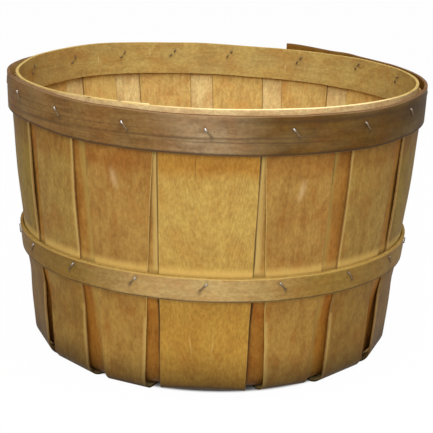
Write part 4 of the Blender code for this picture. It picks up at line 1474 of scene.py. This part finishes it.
class MakeMiddleHoop(bpy.types.Operator):
    """Make the middle hoop"""

    bl_idname = "basket.middle_hoop"
    bl_label = "Middle Hoop"

    def execute(self, context):
        form, sizes, hues = basket(context)
        left = scaled(hues.middle_side, (0.93, 0.90, 0.88))
        right = scaled(hues.middle_side, (1.12, 1.13, 1.20))
        front = hues.middle_hoop
        tones = tones_round(form, sizes.middle_hoop_base, (
            (0, left), (168, left), (205, front), (214, front), (246, right), (380, left)))
        face = wood_finish(
            "middle_hoop_face", front, 17.0, hues, tones=tones, ring_width=0.005, wander=0.008, rings=0.25,
            streaks=0.35, mottle=0.45, bloom=0.12, edges=(
                # Painted shade along the hoop's lower edge, and a painted highlight along its top edge
                ("from_left", 0.0020, hues.hoop_dark, 0.85, *EVERYWHERE),
                ("from_right", 0.0015, hues.painted_light_and_pale_grain, 0.45, *EVERYWHERE)))
        inside = wood_finish("middle_hoop_inside", hues.middle_side, 18.0, hues)
        cut = cut_finish("middle_hoop_cut", hues.middle_hoop_cut, 19.0, hues)
        make_hoop(
            form, "middle_hoop", sizes.middle_hoop_base,
            sizes.middle_hoop_base + sizes.middle_hoop_width, sizes.middle_hoop_thickness, 1,
            middle_staple_places(form), (face, inside, cut))
        return {"FINISHED"}


class MakeRimStaples(bpy.types.Operator):
    """Make the staples of the rim hoops"""

    bl_idname = "basket.rim_staples"
    bl_label = "Rim Staples"

    def execute(self, context):
        form, sizes, hues = basket(context)
        outer_layer = sizes.outer_hoop_thickness + sizes.fit_gap
        inner_layer = sizes.inner_hoop_thickness + sizes.fit_gap
        make_hoop_staples(
            form, "rim_staple", rim_staple_places(form), form.outer_seat + outer_layer,
            -form.inner_seat - inner_layer - form.rim_sag, (OUTER_LAP, outer_layer),
            (INNER_LAP, inner_layer), 1.0, wire_finish("rim_wire", hues.worn_wire, hues, 0.1))
        return {"FINISHED"}


class MakeMiddleStaples(bpy.types.Operator):
    """Make the staples of the middle hoop"""

    bl_idname = "basket.middle_staples"
    bl_label = "Middle Staples"

    def execute(self, context):
        form, sizes, hues = basket(context)
        hoop_layer = sizes.middle_hoop_thickness + sizes.fit_gap
        make_hoop_staples(
            form, "middle_staple", middle_staple_places(form), form.outer_seat + hoop_layer,
            -form.layer_pitch - sizes.veneer - sizes.fit_gap, (MIDDLE_LAP, hoop_layer), (MIDDLE_LAP, 0.0),
            0.6, wire_finish("middle_wire", hues.worn_wire, hues, 0.3))
        return {"FINISHED"}


class MakeBottomStaple(bpy.types.Operator):
    """Make the staple through the crossing of the staves"""

    bl_idname = "basket.bottom_staple"
    bl_label = "Bottom Staple"

    def execute(self, context):
        form, sizes, hues = basket(context)
        layers = len(OUTER_STAVE_EDGES) + len(INNER_STAVE_EDGES)
        path = wire_path(
            sizes.hub_rise + layers * form.layer_pitch + sizes.set_gap, sizes.hub_rise - sizes.fit_gap,
            sizes.bottom_crown_length, sizes.bottom_clinch_length, sizes.bottom_wire)
        make_wire(
            "bottom_staple", Matrix.Rotation(math.radians(sizes.bottom_staple_turn), 4, "Z"), path,
            sizes.bottom_wire, sizes.bottom_wire, 0.5, wire_finish("bottom_wire", hues.dull_wire, hues, 0.5))
        return {"FINISHED"}


def add_lamp(name, power, size, spot):
    """A soft square lamp that is aimed at the basket."""
    data = bpy.data.lights.new(name, "AREA")
    data.energy = power
    data.size = size
    lamp = bpy.data.objects.new(name, data)
    lamp.location = spot
    lamp.rotation_euler = (Vector(LAMP_AIM) - Vector(spot)).to_track_quat("-Z", "Y").to_euler()
    bpy.context.collection.objects.link(lamp)


def make_floor(stage):
    """A pale floor that keeps the basket's shadow and can be seen through from under it."""
    half = stage.floor_size / 2
    material, tree, shader = new_material("floor_paint")
    corners = [(-half, -half, 0), (half, -half, 0), (half, half, 0), (-half, half, 0)]
    floor = new_object("floor", corners, [(0, 1, 2, 3)], [material])
    floor.location.z = -FLOOR_DROP
    tree.nodes.remove(shader)
    paint = node(tree, "ShaderNodeBsdfDiffuse", {"Color": (*stage.floor_colour, 1.0)})[0]
    glow = node(tree, "ShaderNodeEmission", {"Color": (1.0, 1.0, 1.0, 1.0), "Strength": 1.0})[0]
    rays = node(tree, "ShaderNodeLightPath")
    seen = maths("MAXIMUM", rays["Is Glossy Ray"], rays["Is Transmission Ray"])
    seen = maths("MAXIMUM", rays["Is Camera Ray"], seen)
    spot = node(tree, "ShaderNodeTexCoord")["Object"]
    reach = node(tree, "ShaderNodeVectorMath", {0: spot}, operation="LENGTH")["Value"]
    white = ramp(reach, stage.shadow_core, stage.shadow_edge, stage.shadow_glow, stage.floor_glow)
    top = node(tree, "ShaderNodeMixShader", {0: seen * white, 1: paint, 2: glow})[0]
    under = node(tree, "ShaderNodeNewGeometry")["Backfacing"]
    clear = node(tree, "ShaderNodeBsdfTransparent")[0]
    whole = node(tree, "ShaderNodeMixShader", {0: under, 1: top, 2: clear})[0]
    put(tree.nodes["Material Output"].inputs["Surface"], whole)


def make_world(stage):
    """Even light from all round, white where a camera ray or a transmission ray sees it."""
    world = bpy.data.worlds.new("studio")
    bpy.context.scene.world = world
    world.use_nodes = True
    tree = world.node_tree
    ambient = tree.nodes["Background"]
    put(ambient.inputs["Color"], (1.0, 1.0, 1.0, 1.0))
    put(ambient.inputs["Strength"], stage.ambient)
    white = node(tree, "ShaderNodeBackground", {"Color": (1.0, 1.0, 1.0, 1.0)})[0]
    rays = node(tree, "ShaderNodeLightPath")
    seen = maths("MAXIMUM", rays["Is Camera Ray"], rays["Is Transmission Ray"])
    both = node(tree, "ShaderNodeMixShader", {0: seen, 1: Field(ambient.outputs[0]), 2: white})[0]
    put(tree.nodes["World Output"].inputs["Surface"], both)


class MakeStage(bpy.types.Operator):
    """Make the floor, the lamps, the even light and the camera"""

    bl_idname = "basket.stage"
    bl_label = "Stage"

    def execute(self, context):
        stage = context.scene.basket_stage
        make_floor(stage)
        make_world(stage)
        add_lamp("key_lamp", stage.key_power, *KEY_LAMP)
        add_lamp("top_lamp", stage.top_power, *TOP_LAMP)
        data = bpy.data.cameras.new("camera")
        data.lens = stage.lens
        data.sensor_width = SENSOR_WIDTH
        camera = bpy.data.objects.new("camera", data)
        spot = Matrix.Translation((0, -stage.camera_distance, stage.camera_height))
        for angle, axis in (
                (-stage.camera_yaw, "Z"), (90 - stage.camera_pitch, "X"), (stage.camera_roll, "Z")):
            spot @= Matrix.Rotation(math.radians(angle), 4, axis)
        camera.matrix_world = spot
        context.collection.objects.link(camera)
        context.scene.camera = camera
        context.scene.view_settings.view_transform = "Standard"
        return {"FINISHED"}


OPERATORS = (
    MakeOuterStaves, MakeInnerStaves, MakeOuterHoop, MakeInnerHoop, MakeMiddleHoop,
    MakeRimStaples, MakeMiddleStaples, MakeBottomStaple, MakeStage,
)


class BasketPanel(bpy.types.Panel):
    """Lists the steps that make the basket"""

    bl_idname = "VIEW3D_PT_peck_basket"
    bl_label = "Peck Basket"
    bl_space_type = "VIEW_3D"
    bl_region_type = "UI"
    bl_category = "Basket"

    def draw(self, context):
        for step in OPERATORS:
            self.layout.operator(step.bl_idname)


CLASSES = (BasketSizes, BasketColours, StageSettings, *OPERATORS, BasketPanel)


def register():
    for item in CLASSES:
        bpy.utils.register_class(item)
    bpy.types.Scene.basket_sizes = PointerProperty(type=BasketSizes)
    bpy.types.Scene.basket_colours = PointerProperty(type=BasketColours)
    bpy.types.Scene.basket_stage = PointerProperty(type=StageSettings)


def unregister():
    del bpy.types.Scene.basket_stage
    del bpy.types.Scene.basket_colours
    del bpy.types.Scene.basket_sizes
    for item in reversed(CLASSES):
        bpy.utils.unregister_class(item)


def main():
    register()
    bpy.ops.basket.outer_staves()
    bpy.ops.basket.inner_staves()
    bpy.ops.basket.outer_rim_hoop()
    bpy.ops.basket.inner_rim_hoop()
    bpy.ops.basket.middle_hoop()
    bpy.ops.basket.rim_staples()
    bpy.ops.basket.middle_staples()
    bpy.ops.basket.bottom_staple()
    bpy.ops.basket.stage()


if __name__ == "__main__":
    main()
